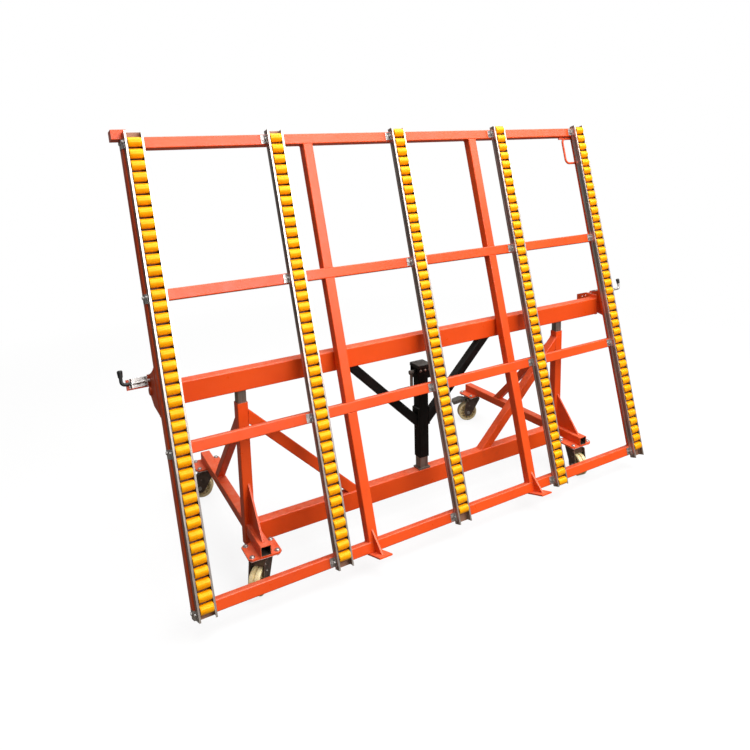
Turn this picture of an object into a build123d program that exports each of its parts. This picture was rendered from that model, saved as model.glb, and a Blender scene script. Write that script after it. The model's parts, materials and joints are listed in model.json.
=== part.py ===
from build123d import *
import os
from math import atan2, cos, degrees, radians, sin, tan

# Slab tilting trolley, in millimetres and degrees.
# The pieces are laid out with X = 0 at the middle of the beam and Y = 0 in the plane of the two posts,
# and every piece is moved by FRAME_SHIFT_X and FRAME_SHIFT_Y when it is saved, so that the origin is
# under the middle of the whole trolley. X runs along the beam, Y runs to the back and Z up from the floor.
FRAME_SHIFT_X = -66
FRAME_SHIFT_Y = -231.05

# Fits and gaps
RUNNING_GAP = 0.05
LOOSE_GAP = 0.5
CUT_OVERRUN = 5

# Table frame, in its own directions: x along the beam, up along the slope, front out of its face
TABLE_WIDTH = 2700
TABLE_HEIGHT = 2020
TABLE_LEAN = 16.5
TABLE_TUBE = 50
TUBE_WALL = 3
TUBE_INNER_CORNER = 1.8
CROSS_BAR_RISES = (25, 685, 1335, 1995)
UPRIGHT_X = 500

# Pivot of the table on the beam
PIVOT_Y = 60
PIVOT_Z = 955
PIVOT_RISE = 942
PIVOT_TO_TUBES = 106
PIVOT_PIN_R = 15
PIVOT_HEAD_R = 19
PIVOT_HEAD_THICK = 7
BUSH_R = 20
BUSH_FLANGE_R = 24
BUSH_GAP = 1

# Ear plates that carry the pivots, as places up the slope and to the front from the pivot
EAR_THICK = 12
EAR_HEEL_UP = -110
LEFT_EAR_TOP_UP = 98
LEFT_EAR_HOLLOW = (76, 30)
LEFT_EAR_NOSE = (72, -41)
RIGHT_EAR_TOP_UP = 60
RIGHT_EAR_HOLLOW = (62, 40)
RIGHT_EAR_NOSE = (58, -22)
EAR_BACK = ((17, -31), (-8, -31), (-65, 15))

# Lifting beam, its end plates and the posts that slide in the stand
BEAM_WIDTH = 60
BEAM_HEIGHT = 100
BEAM_WALL = 4
BEAM_HALF = 1284
BEAM_BOTTOM_Z = 900
HINGE_PLATE_THICK = 12
HINGE_PLATE_ABOVE_BEAM = 20
HINGE_PLATE_BEHIND_PIVOT = 75
HINGE_PLATE_TOP_BEHIND_PIVOT = 5
HINGE_PLATE_SHOULDER_DROP = 3
HINGE_PLATE_CHIN = (50, 30)
POST_X = 980
POST_TUBE = 42
POST_BOTTOM_Z = 330

# Stand
SLEEVE_TUBE = 50
SLEEVE_BOTTOM_Z = 140
SLEEVE_TOP_Z = 841
RAIL_TOP_Z = 240
FOOT_TOP_Z = 245
FOOT_FRONT_Y = -245
FOOT_REAR_Y = 880
LEFT_FOOT_TURN = -4.4
LEFT_FOOT_SHIFT = 7
REAR_BRACE_TUBE = 40
SIDE_BRACE_TUBE = 50
REAR_BRACE_TOP_Z = 795
SIDE_BRACE_TOP_Z = 806
FRONT_GUSSET_TOP_Z = 445
FRONT_GUSSET_REACH = 185
GUSSET_THICK = 8

# Roller tracks: x of the track, rise of its lower end, rise of its top roller, number of rollers
TRACKS = (
    (-1305, -5, 1990.0, 40),
    (-675, -10, 1994.5, 40),
    (0, -12, 2006.5, 40),
    (675, -12, 2010.5, 41),
    (1305, -16, 1996.5, 40),
)
TRACK_LENGTH = 2044
TRACK_WIDTH = 76
TRACK_DEPTH = 40
TRACK_WALL = 2.5
TRACK_LIP = 8
ROLLER_PITCH = 50
ROLLER_R = 21.5
ROLLER_WIDTH = 57
ROLLER_EDGE = 1.5
ROLLER_LIFT = 27
ROLLER_AXLE_R = 4
ROLLER_AXLE_END = 1
SPIN_ROLLER = 20

# Angle brackets and, on the left edge, stepped straps that hold the tracks, and their bolts
ANGLE_LEG = 22
ANGLE_RISE = 22
ANGLE_LENGTH = 40
ANGLE_THICK = 3
STRAP_TRACK_LEG = (5.5, 22.5)
STRAP_BAR_LEG = (-34, -1.5)
STRAP_DROP = 6
TRACK_BOLT_R = 4
TRACK_BOLT_HEX_R = 7.5
TRACK_BOLT_HEAD = 5.5
TRACK_BOLT_LIFT = 12
TRACK_BOLT_IN_BAR = 14
TRACK_BOLT_IN_TRACK = 7.5
HOLE_GAP = 0.2

# Slab feet, corner stub and pull handle on the table
SLAB_FOOT_WIDTH = 68
SLAB_FOOT_REACH = 100
SLAB_FOOT_UNDERLAP = 46
SLAB_FOOT_THICK = 8
SLAB_GUSSET_HEIGHT = 105
SLAB_GUSSET_REACH = 68
STUB_LENGTH = 37
STUB_LAP = 25
STUB_LOW_RISE = 2010
STUB_HIGH_RISE = 2054
HANDLE_BAR_R = 6.5
HANDLE_REACH = 92
HANDLE_LOW_RISE = 1807
HANDLE_HIGH_RISE = 1960
HANDLE_BEND_R = 26
HANDLE_TAB = (36, 14, 8)
HANDLE_TAB_X = 1180

# Latches that lock the table to the beam's end plates
LATCH_UP = 48
LATCH_FRONT = 8
LATCH_TRAVEL = 22
LATCH_PIN_R = 7
LATCH_TIP_X = 1305
LATCH_BEND_X = 1465
RIGHT_HANDLE_OUT = 132
LATCH_BEND_R = 16
LATCH_HANDLE_UP = 102
LATCH_GRIP_UP = (80, 112)
LATCH_GRIP_R = (9.5, 12)
LATCH_GRIP_LOW_ROUND = 2
LATCH_GRIP_TOP_ROUND = 7
LATCH_LUG_X = (1365, 1425)
LATCH_LUG_THICK = 4
LATCH_LUG_HALF = 20
LATCH_LUG_FRONT = 20
LATCH_COLLAR_R = 8.5
LATCH_COLLAR_LONG = 8
LATCH_COLLAR_GAP = 1
LATCH_BASE_HALF = 20
LATCH_BASE_THICK = 3
LATCH_BASE_GAP = 2
LATCH_BASE_MARGIN = 8
LATCH_BRACKET_REACH = 95
LATCH_BRACKET_UP = (20.5, 66)
LATCH_BRACKET_THICK = 6
FLAT_TILT = 90 - TABLE_LEAN

# Casters, with u along the trail from the swivel to the wheel and w along the wheel's axle
CASTER_Y = (-172, 825)
CASTER_TRAILS = {
    "front_left": (-0.71, -0.70),
    "front_right": (-0.17, -0.98),
    "rear_left": (-0.90, 0.45),
    "rear_right": (-0.93, 0.37),
}
PAD_SIZE = (152, 140)
PAD_THICK = 8
PAD_CORNER = 14
PAD_BOLT_SPACING = (115, 102)
PAD_BOLT_R = 5
PAD_WASHER_R = 12.5
PAD_WASHER_THICK = 2
PAD_DOME_R = 10.5
PAD_DOME_HIGH = 7.5
PAD_DOME_ROUND = 6
PAD_NUT_R = 9.5
PAD_NUT_HIGH = 8
TOP_PLATE_SIZE = (142, 136)
TOP_PLATE_THICK = 4
RACE_R = 38
RACE_DEPTH = 11
KING_PIN_R = 8
WHEEL_R = 65
WHEEL_WIDTH = 50
WHEEL_HUB_WIDTH = 65
WHEEL_HUB_R = 19
WHEEL_DISH_R = (24, 49)
WHEEL_DISH_DEEP = 8
WHEEL_DISH_SLOPE = 4
WHEEL_GROOVE_HALF = 2.5
WHEEL_GROOVE_DEEP = 4
WHEEL_SHOULDER = 6
CASTER_TRAIL = 45
CASTER_AXLE_R = 6
CASTER_AXLE_HEAD = 8
CASTER_AXLE_HEX_R = 11
FORK_INNER = 34
FORK_PLATE = 5
FORK_BOSS_R = 28
CROWN_THICK = 8
CROWN_BOTTOM_Z = 156
CROWN_REAR = -38
FORK_RING_INSET = 4
FORK_BROW = 6
FORK_LIP_GAP = 3
PEDAL_PIVOT = (48, 160)
PEDAL_BARREL_R = 5
PEDAL_ROOM = 1
PEDAL_STUB_R = 3
PEDAL_NECK_LONG = 18
PEDAL_NECK_WIDTH = 42
PEDAL_NECK_DEEP = 12
PEDAL_CREST = (52, 6)
PEDAL_TIP = (100, -10)
PEDAL_TIP_DEEP = 22
PEDAL_WAIST = (60, -22)
PEDAL_WIDTH = 64
PEDAL_THICK = 4

# Screw jack between the rail and the beam
JACK_TUBE = 58
JACK_TUBE_BOTTOM_Z = 309
JACK_HEAD_BOTTOM_Z = 756
JACK_HEAD_TOP_Z = 816
JACK_HEAD_SIZE = (80, 84)
JACK_POCKET_DEEP = 8
JACK_POCKET_Z = (780, 790)
JACK_POCKET_HALF = 31
JACK_HEAD_WALL = 6
JACK_HEAD_FLOOR = 10
JACK_CAP_SIZE = (84, 88)
JACK_CAP_THICK = 17
JACK_CAP_CHAMFER = 3
JACK_LEG_TUBE = 50
JACK_LEG_TOP_Z = 690
JACK_FOOT_SIZE = (70, 60)
JACK_FOOT_THICK = 8
JACK_NUT_HEIGHT = 30
SCREW_R = 10
SCREW_BOTTOM_Z = 400
THRUST_COLLAR_R = 16
BEVEL_SMALL_R = 10
BEVEL_LARGE_R = 20
CRANK_Z = 790
CRANK_SHAFT_R = 7
CRANK_BOSS_R = 13
CRANK_BOSS_LONG = 5
CRANK_HUB_R = 12
CRANK_HUB_X = (-69, -47)
CRANK_ARM_R = 8
CRANK_ARM_LONG = 85
CRANK_SPINDLE_R = 5
CRANK_GRIP_X = (-148, -71)
CRANK_GRIP_R = 11
CRANK_GRIP_ROUND = 3
JACK_BRACE_TUBE = 45
JACK_BRACE_TOP_X = 417
JACK_BRACE_PLATE_Z = (490, 590)
JACK_BRACE_PLATE_THICK = 8

# Worked-out values
HALF_TABLE = TABLE_WIDTH / 2
LEAN = radians(TABLE_LEAN)
TABLE = Plane(origin=(0, PIVOT_Y, PIVOT_Z), x_dir=(1, 0, 0), z_dir=(0, -cos(LEAN), sin(LEAN)))
TUBE_BACK = PIVOT_TO_TUBES
TUBE_MIDDLE = TUBE_BACK + TABLE_TUBE / 2
TUBE_FRONT = TUBE_BACK + TABLE_TUBE
ROLLER_FRONT = TUBE_FRONT + ROLLER_LIFT
HINGE_PLATE_OUT = BEAM_HALF + HINGE_PLATE_THICK
EAR_IN = HALF_TABLE - EAR_THICK
BEAM_TOP_Z = BEAM_BOTTOM_Z + BEAM_HEIGHT
FOOT_BOTTOM_Z = FOOT_TOP_Z - SLEEVE_TUBE
PAD_BOTTOM_Z = FOOT_BOTTOM_Z - PAD_THICK
TOP_PLATE_BOTTOM_Z = PAD_BOTTOM_Z - TOP_PLATE_THICK
SLEEVE_HALF = SLEEVE_TUBE / 2


def up_table(rise):
    """Place along the slope, from the pivot, of a rise measured from the table's bottom edge."""
    return rise - PIVOT_RISE


def box_between(low, high):
    """Box between two opposite corners."""
    size = [b - a for a, b in zip(low, high)]
    middle = [(a + b) / 2 for a, b in zip(low, high)]
    return Pos(*middle) * Box(*size)


def tube(start, end, width, depth, wall, width_dir):
    """Rectangular tube with rounded corners, open at both ends; width_dir points along its width."""
    along = Vector(*end) - Vector(*start)
    section = RectangleRounded(width, depth, wall + TUBE_INNER_CORNER)
    section -= RectangleRounded(width - 2 * wall, depth - 2 * wall, TUBE_INNER_CORNER)
    return extrude(Plane(origin=start, x_dir=width_dir, z_dir=along) * section, amount=along.length)


def rod(start, end, radius):
    """Round bar between two points."""
    along = Vector(*end) - Vector(*start)
    return extrude(Plane(origin=start, z_dir=along) * Circle(radius), amount=along.length)


def hex_bar(start, end, radius):
    """Six-sided bar between two points, with its corners on the radius."""
    along = Vector(*end) - Vector(*start)
    return extrude(Plane(origin=start, z_dir=along) * RegularPolygon(radius, 6), amount=along.length)


def bent_rod(points, bend_radius, radius):
    """Round bar along straight runs joined by bends."""
    path = FilletPolyline(*points, radius=bend_radius)
    start_plane = Plane(origin=path @ 0, z_dir=path % 0)
    return sweep(start_plane * Circle(radius), path=path)


def plate_across_x(x_low, x_high, face):
    """Plate across X from a flat face drawn in its other two directions."""
    return extrude(Plane.YZ.offset(x_low) * face, amount=x_high - x_low)


def polygon(*points):
    """Flat face with straight edges."""
    return make_face(Polyline(*points, close=True))


def both_sides(shape):
    """A piece and its mirror image on the other side of the trolley."""
    return [shape, mirror(shape, about=Plane.YZ)]


def on_feet(shape):
    """A piece drawn about a post's axis, on the right foot and, turned with it, on the left foot."""
    right = Pos(POST_X, 0, 0) * shape
    left = left_foot_place() * mirror(shape, about=Plane.YZ)
    return [right, left]


def left_foot_place():
    """Place of the left foot, which stands a little askew to its post."""
    return Pos(LEFT_FOOT_SHIFT - POST_X, 0, 0) * Rot(0, 0, LEFT_FOOT_TURN)


def clear_of_posts(shapes):
    """Pieces that start inside the posts, cut off level with the posts' front and rear faces and the rail."""
    reach = SLEEVE_TUBE
    room = box_between((POST_X - reach, -SLEEVE_HALF, 0), (POST_X + reach, SLEEVE_HALF, BEAM_TOP_Z))
    rail_half = POST_X - SLEEVE_HALF
    rail_room = box_between((-rail_half, -BEAM_WIDTH / 2, 0), (rail_half, BEAM_WIDTH / 2, FOOT_TOP_Z))
    rooms = both_sides(room) + [rail_room]
    return [shape - rooms for shape in shapes]


def on_table(shapes):
    """Pieces drawn in the table's own directions, put where the leaning table is."""
    return [TABLE.location * shape for shape in shapes]


def save(name, shapes):
    """Write one named sub-part as a group of separate solids."""
    solids = [solid for shape in shapes for solid in shape.solids()]
    group = Pos(FRAME_SHIFT_X, FRAME_SHIFT_Y, 0) * Compound(solids)
    export_step(group, f"parts/{name}.step")


# Stand: rail, sleeves, foot beams, gussets and braces

def base_rail():
    rail_half = POST_X - SLEEVE_HALF
    middle_z = RAIL_TOP_Z - BEAM_HEIGHT / 2
    return [tube((-rail_half, 0, middle_z), (rail_half, 0, middle_z), BEAM_WIDTH, BEAM_HEIGHT,
                 BEAM_WALL, (0, 1, 0))]


def post_sleeves():
    sleeve = tube((POST_X, 0, SLEEVE_BOTTOM_Z), (POST_X, 0, SLEEVE_TOP_Z), SLEEVE_TUBE, SLEEVE_TUBE,
                  TUBE_WALL, (1, 0, 0))
    return both_sides(sleeve)


def foot_beams():
    middle_z = FOOT_TOP_Z - SLEEVE_HALF
    beams = []
    for end_y in (FOOT_FRONT_Y, FOOT_REAR_Y):
        beam = tube((0, 0, middle_z), (0, end_y, middle_z), SLEEVE_TUBE, SLEEVE_TUBE, TUBE_WALL, (1, 0, 0))
        beams += on_feet(beam)
    return clear_of_posts(beams)


def front_gussets():
    face = polygon((0, FOOT_TOP_Z), (0, FRONT_GUSSET_TOP_Z), (-SLEEVE_HALF, FRONT_GUSSET_TOP_Z),
                   (-SLEEVE_HALF - FRONT_GUSSET_REACH, FOOT_TOP_Z))
    gusset = plate_across_x(-GUSSET_THICK / 2, GUSSET_THICK / 2, face)
    return clear_of_posts(on_feet(gusset))


def slanted_brace(corner, drop, direction, size, keep):
    """Square tube at 45 degrees, cut off flat where it meets the pieces that it is welded to.

    corner is where its upper edge meets the upright piece, drop is its fall, direction is +1 or -1
    along the horizontal, and keep is the room that is left for it.
    """
    axis, place, top_z = corner
    half_face = size / 2 * 2 ** 0.5
    start = [0, 0, top_z - half_face]
    end = [0, 0, top_z - half_face - drop]
    start[axis] = place
    end[axis] = place + direction * drop
    sideways = (0, 1, 0) if axis == 0 else (1, 0, 0)
    along = (Vector(*end) - Vector(*start)).normalized()
    overrun = along * size * 2
    bar = tube(tuple(Vector(*start) - overrun), tuple(Vector(*end) + overrun), size, size,
               TUBE_WALL, sideways)
    return bar & keep


def stand_braces():
    half = SIDE_BRACE_TUBE
    rear_drop = REAR_BRACE_TOP_Z - FOOT_TOP_Z
    rear_keep = box_between((-half, 0, FOOT_TOP_Z), (half, FOOT_REAR_Y, SLEEVE_TOP_Z))
    rear = slanted_brace((1, SLEEVE_HALF, REAR_BRACE_TOP_Z), rear_drop, 1, REAR_BRACE_TUBE, rear_keep)
    inner_x = POST_X - SLEEVE_HALF
    side_drop = SIDE_BRACE_TOP_Z - RAIL_TOP_Z
    side_keep = box_between((0, -half, RAIL_TOP_Z), (inner_x, half, SLEEVE_TOP_Z))
    side = slanted_brace((0, inner_x, SIDE_BRACE_TOP_Z), side_drop, -1, SIDE_BRACE_TUBE, side_keep)
    return clear_of_posts(on_feet(rear)) + both_sides(side)


# Casters, their pads and bolts

def caster_places():
    """Name, place on its foot and trail direction of each caster."""
    places = []
    for name, trail in CASTER_TRAILS.items():
        foot = left_foot_place() if name.endswith("left") else Pos(POST_X, 0, 0)
        depth = CASTER_Y[0] if name.startswith("front") else CASTER_Y[1]
        places.append((name, foot * Pos(0, depth, 0), degrees(atan2(trail[1], trail[0]))))
    return places


def pad_bolt_spots():
    half_x, half_y = PAD_BOLT_SPACING[0] / 2, PAD_BOLT_SPACING[1] / 2
    return [(sx * half_x, sy * half_y) for sx in (-1, 1) for sy in (-1, 1)]


def pad_bolt_holes():
    holes = [Pos(x, y, PAD_BOTTOM_Z) * Cylinder(PAD_BOLT_R + HOLE_GAP, PAD_BOTTOM_Z)
             for x, y in pad_bolt_spots()]
    return Compound([solid for hole in holes for solid in hole.solids()])


def caster_pad():
    outline = chamfer(Rectangle(*PAD_SIZE).vertices(), PAD_CORNER)
    return extrude(Pos(0, 0, PAD_BOTTOM_Z) * outline, amount=PAD_THICK) - pad_bolt_holes()


def caster_top_plate():
    """Plate, fixed race and king pin, which the fork turns about."""
    outline = fillet(Rectangle(*TOP_PLATE_SIZE).vertices(), PAD_CORNER)
    plate = extrude(Pos(0, 0, TOP_PLATE_BOTTOM_Z) * outline, amount=TOP_PLATE_THICK) - pad_bolt_holes()
    race = rod((0, 0, TOP_PLATE_BOTTOM_Z - RACE_DEPTH), (0, 0, TOP_PLATE_BOTTOM_Z), RACE_R)
    pin = rod((0, 0, CROWN_BOTTOM_Z), (0, 0, TOP_PLATE_BOTTOM_Z), KING_PIN_R)
    return plate + race + pin


def pad_bolt(x, y):
    """Domed bolt with a washer on the pad and a nut under the caster's plate."""
    pad_top = FOOT_BOTTOM_Z
    washer_top = pad_top + PAD_WASHER_THICK
    nut_low = TOP_PLATE_BOTTOM_Z - PAD_NUT_HIGH
    shank = rod((x, y, nut_low), (x, y, pad_top), PAD_BOLT_R)
    washer = rod((x, y, pad_top), (x, y, washer_top), PAD_WASHER_R)
    dome = rod((x, y, washer_top), (x, y, washer_top + PAD_DOME_HIGH), PAD_DOME_R)
    dome = fillet(dome.edges().sort_by(Axis.Z)[-1], PAD_DOME_ROUND)
    nut = hex_bar((x, y, nut_low), (x, y, TOP_PLATE_BOTTOM_Z), PAD_NUT_R)
    return shank + washer + dome + nut


def fork(has_brake):
    """Caster fork in its own u, w and z: swivel ring, crown plate, lip above the wheel, two side plates."""
    top_z = CROWN_BOTTOM_Z + CROWN_THICK
    crown_front = PEDAL_PIVOT[0] - PEDAL_BARREL_R - PEDAL_ROOM
    brow_front = PEDAL_PIVOT[0] + FORK_BROW
    outer = FORK_INNER + FORK_PLATE
    crown = box_between((CROWN_REAR, -outer, CROWN_BOTTOM_Z), (crown_front, outer, top_z))
    ring_top = TOP_PLATE_BOTTOM_Z - RACE_DEPTH - LOOSE_GAP
    ring = rod((0, 0, CROWN_BOTTOM_Z), (0, 0, ring_top), RACE_R - FORK_RING_INSET)
    lip = box_between((crown_front - FORK_PLATE, -FORK_INNER, 2 * WHEEL_R + FORK_LIP_GAP),
                      (crown_front, FORK_INNER, CROWN_BOTTOM_Z))
    boss = Pos(CASTER_TRAIL, WHEEL_R) * Circle(FORK_BOSS_R)
    brow = polygon((CROWN_REAR, CROWN_BOTTOM_Z), (CROWN_REAR, top_z),
                   (brow_front, top_z), (brow_front, CROWN_BOTTOM_Z))
    side_face = make_hull(boss.edges() + brow.edges())
    side = extrude(Plane.XZ.offset(FORK_INNER) * side_face, amount=FORK_PLATE)
    body = crown + ring + lip + side + mirror(side, about=Plane.XZ)
    body -= rod((0, 0, 0), (0, 0, ring_top + CUT_OVERRUN), KING_PIN_R + RUNNING_GAP)
    body -= rod((CASTER_TRAIL, -outer * 2, WHEEL_R), (CASTER_TRAIL, outer * 2, WHEEL_R),
                CASTER_AXLE_R + RUNNING_GAP)
    if has_brake:
        u, z = PEDAL_PIVOT
        body -= rod((u, -outer * 2, z), (u, outer * 2, z), PEDAL_STUB_R + RUNNING_GAP)
    return body


def caster_axle():
    """Axle bolt with a head on one side of the fork and a nut on the other."""
    outer = FORK_INNER + FORK_PLATE
    tip = outer + CASTER_AXLE_HEAD
    shaft = rod((CASTER_TRAIL, -tip, WHEEL_R), (CASTER_TRAIL, tip, WHEEL_R), CASTER_AXLE_R)
    for side in (-1, 1):
        shaft += hex_bar((CASTER_TRAIL, side * outer, WHEEL_R), (CASTER_TRAIL, side * tip, WHEEL_R),
                         CASTER_AXLE_HEX_R)
    return shaft


def wheel():
    """Wheel with a crowned tread, a groove round its middle, dished sides and a hub."""
    half, hub_half = WHEEL_WIDTH / 2, WHEEL_HUB_WIDTH / 2
    bore_r = CASTER_AXLE_R + RUNNING_GAP
    dish_in_r, dish_out_r = WHEEL_DISH_R
    dish_half = half - WHEEL_DISH_DEEP
    right_side = [
        (WHEEL_GROOVE_HALF, WHEEL_R - WHEEL_GROOVE_DEEP), (WHEEL_GROOVE_HALF, WHEEL_R),
        (half - WHEEL_SHOULDER, WHEEL_R), (half, WHEEL_R - WHEEL_SHOULDER), (half, dish_out_r),
        (dish_half, dish_out_r - WHEEL_DISH_SLOPE), (dish_half, dish_in_r),
        (hub_half, WHEEL_HUB_R), (hub_half, bore_r),
    ]
    left_side = [(-w, r) for w, r in reversed(right_side)]
    face = polygon(*right_side, *left_side)
    spun = revolve(face, Axis.X)
    return Pos(CASTER_TRAIL, 0, WHEEL_R) * Rot(0, 0, 90) * spun


def brake_pedal():
    """Foot pedal that turns on two stubs in the fork's side plates: a neck and a hood with deep sides."""
    u, z = PEDAL_PIVOT
    barrel_half = FORK_INNER - PEDAL_ROOM
    stub_half = FORK_INNER + FORK_PLATE
    neck_half, half_width, half_thick = PEDAL_NECK_WIDTH / 2, PEDAL_WIDTH / 2, PEDAL_THICK / 2
    tip_u, tip_z = PEDAL_TIP
    barrel = rod((u, -barrel_half, z), (u, barrel_half, z), PEDAL_BARREL_R)
    stubs = rod((u, -stub_half, z), (u, stub_half, z), PEDAL_STUB_R)
    neck = box_between((0, -neck_half, -half_thick), (PEDAL_NECK_LONG, neck_half, half_thick))
    outline = polygon((PEDAL_NECK_LONG, half_thick), PEDAL_CREST, PEDAL_TIP, (tip_u, tip_z - PEDAL_TIP_DEEP),
                      PEDAL_WAIST, (PEDAL_NECK_LONG, -PEDAL_NECK_DEEP))
    inner_half = half_width - PEDAL_THICK
    hood = extrude(Plane.XZ.offset(-half_width) * outline, amount=PEDAL_WIDTH)
    hollow = extrude(Plane.XZ.offset(-inner_half) * outline, amount=2 * inner_half)
    hood -= Pos(-PEDAL_THICK, 0, -PEDAL_THICK) * hollow
    return barrel + stubs + Pos(u, 0, z) * (neck + hood)


# Screw jack

def jack_leg():
    foot_top = RAIL_TOP_Z + JACK_FOOT_THICK
    return [tube((0, 0, foot_top), (0, 0, JACK_LEG_TOP_Z), JACK_LEG_TUBE, JACK_LEG_TUBE,
                 TUBE_WALL, (1, 0, 0))]


def jack_foot():
    width, depth = JACK_FOOT_SIZE
    return [box_between((-width / 2, -depth / 2, RAIL_TOP_Z),
                        (width / 2, depth / 2, RAIL_TOP_Z + JACK_FOOT_THICK))]


def jack_nut():
    half = JACK_LEG_TUBE / 2 - TUBE_WALL - LOOSE_GAP
    low = JACK_LEG_TOP_Z - JACK_NUT_HEIGHT
    outline = RectangleRounded(half * 2, half * 2, TUBE_WALL)
    block = extrude(Pos(0, 0, low) * outline, amount=JACK_NUT_HEIGHT)
    bore = rod((0, 0, low - CUT_OVERRUN), (0, 0, JACK_LEG_TOP_Z + CUT_OVERRUN), SCREW_R + RUNNING_GAP)
    return [block - bore]


def jack_tube():
    return [tube((0, 0, JACK_TUBE_BOTTOM_Z), (0, 0, JACK_HEAD_BOTTOM_Z), JACK_TUBE, JACK_TUBE,
                 TUBE_WALL, (1, 0, 0))]


def jack_head():
    """Gear housing with a pocket with a slanted floor in each side, a hollow for the gears, a floor
    that carries the screw and a boss that carries the crank's shaft."""
    half, half_depth = JACK_HEAD_SIZE[0] / 2, JACK_HEAD_SIZE[1] / 2
    wall = JACK_HEAD_WALL
    floor_z = JACK_HEAD_BOTTOM_Z + JACK_HEAD_FLOOR
    above = JACK_HEAD_TOP_Z + CUT_OVERRUN
    pocket_x = half - JACK_POCKET_DEEP
    hollow_x = pocket_x - wall
    housing = extrude(Pos(0, 0, JACK_HEAD_BOTTOM_Z) * RectangleRounded(*JACK_HEAD_SIZE, wall),
                      amount=JACK_HEAD_TOP_Z - JACK_HEAD_BOTTOM_Z)
    pocket = polygon((pocket_x, JACK_POCKET_Z[1]), (half, JACK_POCKET_Z[0]), (half, above), (pocket_x, above))
    cut = extrude(Plane.XZ.offset(-JACK_POCKET_HALF) * pocket, amount=2 * JACK_POCKET_HALF)
    housing -= both_sides(cut)
    housing -= box_between((-hollow_x, -half_depth + wall, floor_z), (hollow_x, half_depth - wall, above))
    boss_x = -half - CRANK_BOSS_LONG
    housing += rod((boss_x, 0, CRANK_Z), (-hollow_x, 0, CRANK_Z), CRANK_BOSS_R)
    housing -= rod((boss_x - CUT_OVERRUN, 0, CRANK_Z), (0, 0, CRANK_Z), CRANK_SHAFT_R + RUNNING_GAP)
    housing -= rod((0, 0, JACK_HEAD_BOTTOM_Z - CUT_OVERRUN), (0, 0, CRANK_Z), SCREW_R + RUNNING_GAP)
    return [housing]


def jack_cap():
    outline = RectangleRounded(*JACK_CAP_SIZE, JACK_HEAD_WALL)
    lid = extrude(Pos(0, 0, JACK_HEAD_TOP_Z) * outline, amount=JACK_CAP_THICK)
    return [chamfer(lid.faces().sort_by(Axis.Z)[-1].edges(), JACK_CAP_CHAMFER)]


def lead_screw():
    """Screw with its thrust collar and the bevel wheel that the crank drives."""
    floor_z = JACK_HEAD_BOTTOM_Z + JACK_HEAD_FLOOR
    wheel_low = CRANK_Z - BEVEL_LARGE_R
    screw = rod((0, 0, SCREW_BOTTOM_Z), (0, 0, wheel_low), SCREW_R)
    collar = rod((0, 0, floor_z + RUNNING_GAP), (0, 0, wheel_low), THRUST_COLLAR_R)
    return [screw + collar + bevel(Pos(0, 0, CRANK_Z) * Rot(180, 0, 0))]


def bevel(place):
    """Bevel wheel as a plain cone about the meeting point of the two shafts, opening along its own Z."""
    low, high = BEVEL_SMALL_R, BEVEL_LARGE_R
    cone = Cone(low - LOOSE_GAP, high - LOOSE_GAP, high - low,
                align=(Align.CENTER, Align.CENTER, Align.MIN))
    return place * Pos(0, 0, low) * cone


def crank_arm():
    """Crank shaft with its bevel pinion, hub, arm and the spindle of the grip."""
    arm_x = (CRANK_HUB_X[0] + CRANK_HUB_X[1]) / 2
    end_z = CRANK_Z - CRANK_ARM_LONG
    pinion = bevel(Pos(0, 0, CRANK_Z) * Rot(0, -90, 0))
    shaft = rod((CRANK_HUB_X[0], 0, CRANK_Z), (-BEVEL_LARGE_R, 0, CRANK_Z), CRANK_SHAFT_R)
    hub = rod((CRANK_HUB_X[0], 0, CRANK_Z), (CRANK_HUB_X[1], 0, CRANK_Z), CRANK_HUB_R)
    arm = rod((arm_x, 0, CRANK_Z), (arm_x, 0, end_z - CRANK_ARM_R), CRANK_ARM_R)
    spindle = rod((arm_x, 0, end_z), (CRANK_GRIP_X[0], 0, end_z), CRANK_SPINDLE_R)
    return [pinion + shaft + hub + arm + spindle]


def crank_grip():
    low, high = CRANK_GRIP_X
    end_z = CRANK_Z - CRANK_ARM_LONG
    body = rod((low, 0, end_z), (high, 0, end_z), CRANK_GRIP_R)
    body = fillet(body.edges().filter_by(GeomType.CIRCLE), CRANK_GRIP_ROUND)
    bore = rod((low - CUT_OVERRUN, 0, end_z), (high + CUT_OVERRUN, 0, end_z), CRANK_SPINDLE_R + RUNNING_GAP)
    return [body - bore]


def jack_braces():
    """Slanted tubes from the beam to a plate on each side of the jack's tube."""
    side = JACK_TUBE / 2
    plate_x = side + JACK_BRACE_PLATE_THICK
    reach = JACK_BRACE_TOP_X - plate_x
    start = Vector(plate_x, 0, BEAM_BOTTOM_Z - reach)
    end = Vector(JACK_BRACE_TOP_X, 0, BEAM_BOTTOM_Z)
    overrun = (end - start).normalized() * JACK_BRACE_TUBE
    bar = tube(tuple(start - overrun), tuple(end + overrun), JACK_BRACE_TUBE, JACK_BRACE_TUBE,
               TUBE_WALL, (0, 1, 0))
    keep = box_between((plate_x, -JACK_TUBE, 0), (BEAM_HALF, JACK_TUBE, BEAM_BOTTOM_Z))
    plate = box_between((side, -side, JACK_BRACE_PLATE_Z[0]), (plate_x, side, JACK_BRACE_PLATE_Z[1]))
    return both_sides(plate + (bar & keep))


# Lifting beam

def main_beam():
    middle_z = (BEAM_BOTTOM_Z + BEAM_TOP_Z) / 2
    return [tube((-BEAM_HALF, 0, middle_z), (BEAM_HALF, 0, middle_z), BEAM_WIDTH, BEAM_HEIGHT,
                 BEAM_WALL, (0, 1, 0))]


def inner_posts():
    post = tube((POST_X, 0, POST_BOTTOM_Z), (POST_X, 0, BEAM_BOTTOM_Z), POST_TUBE, POST_TUBE,
                TUBE_WALL, (1, 0, 0))
    return both_sides(post)


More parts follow.
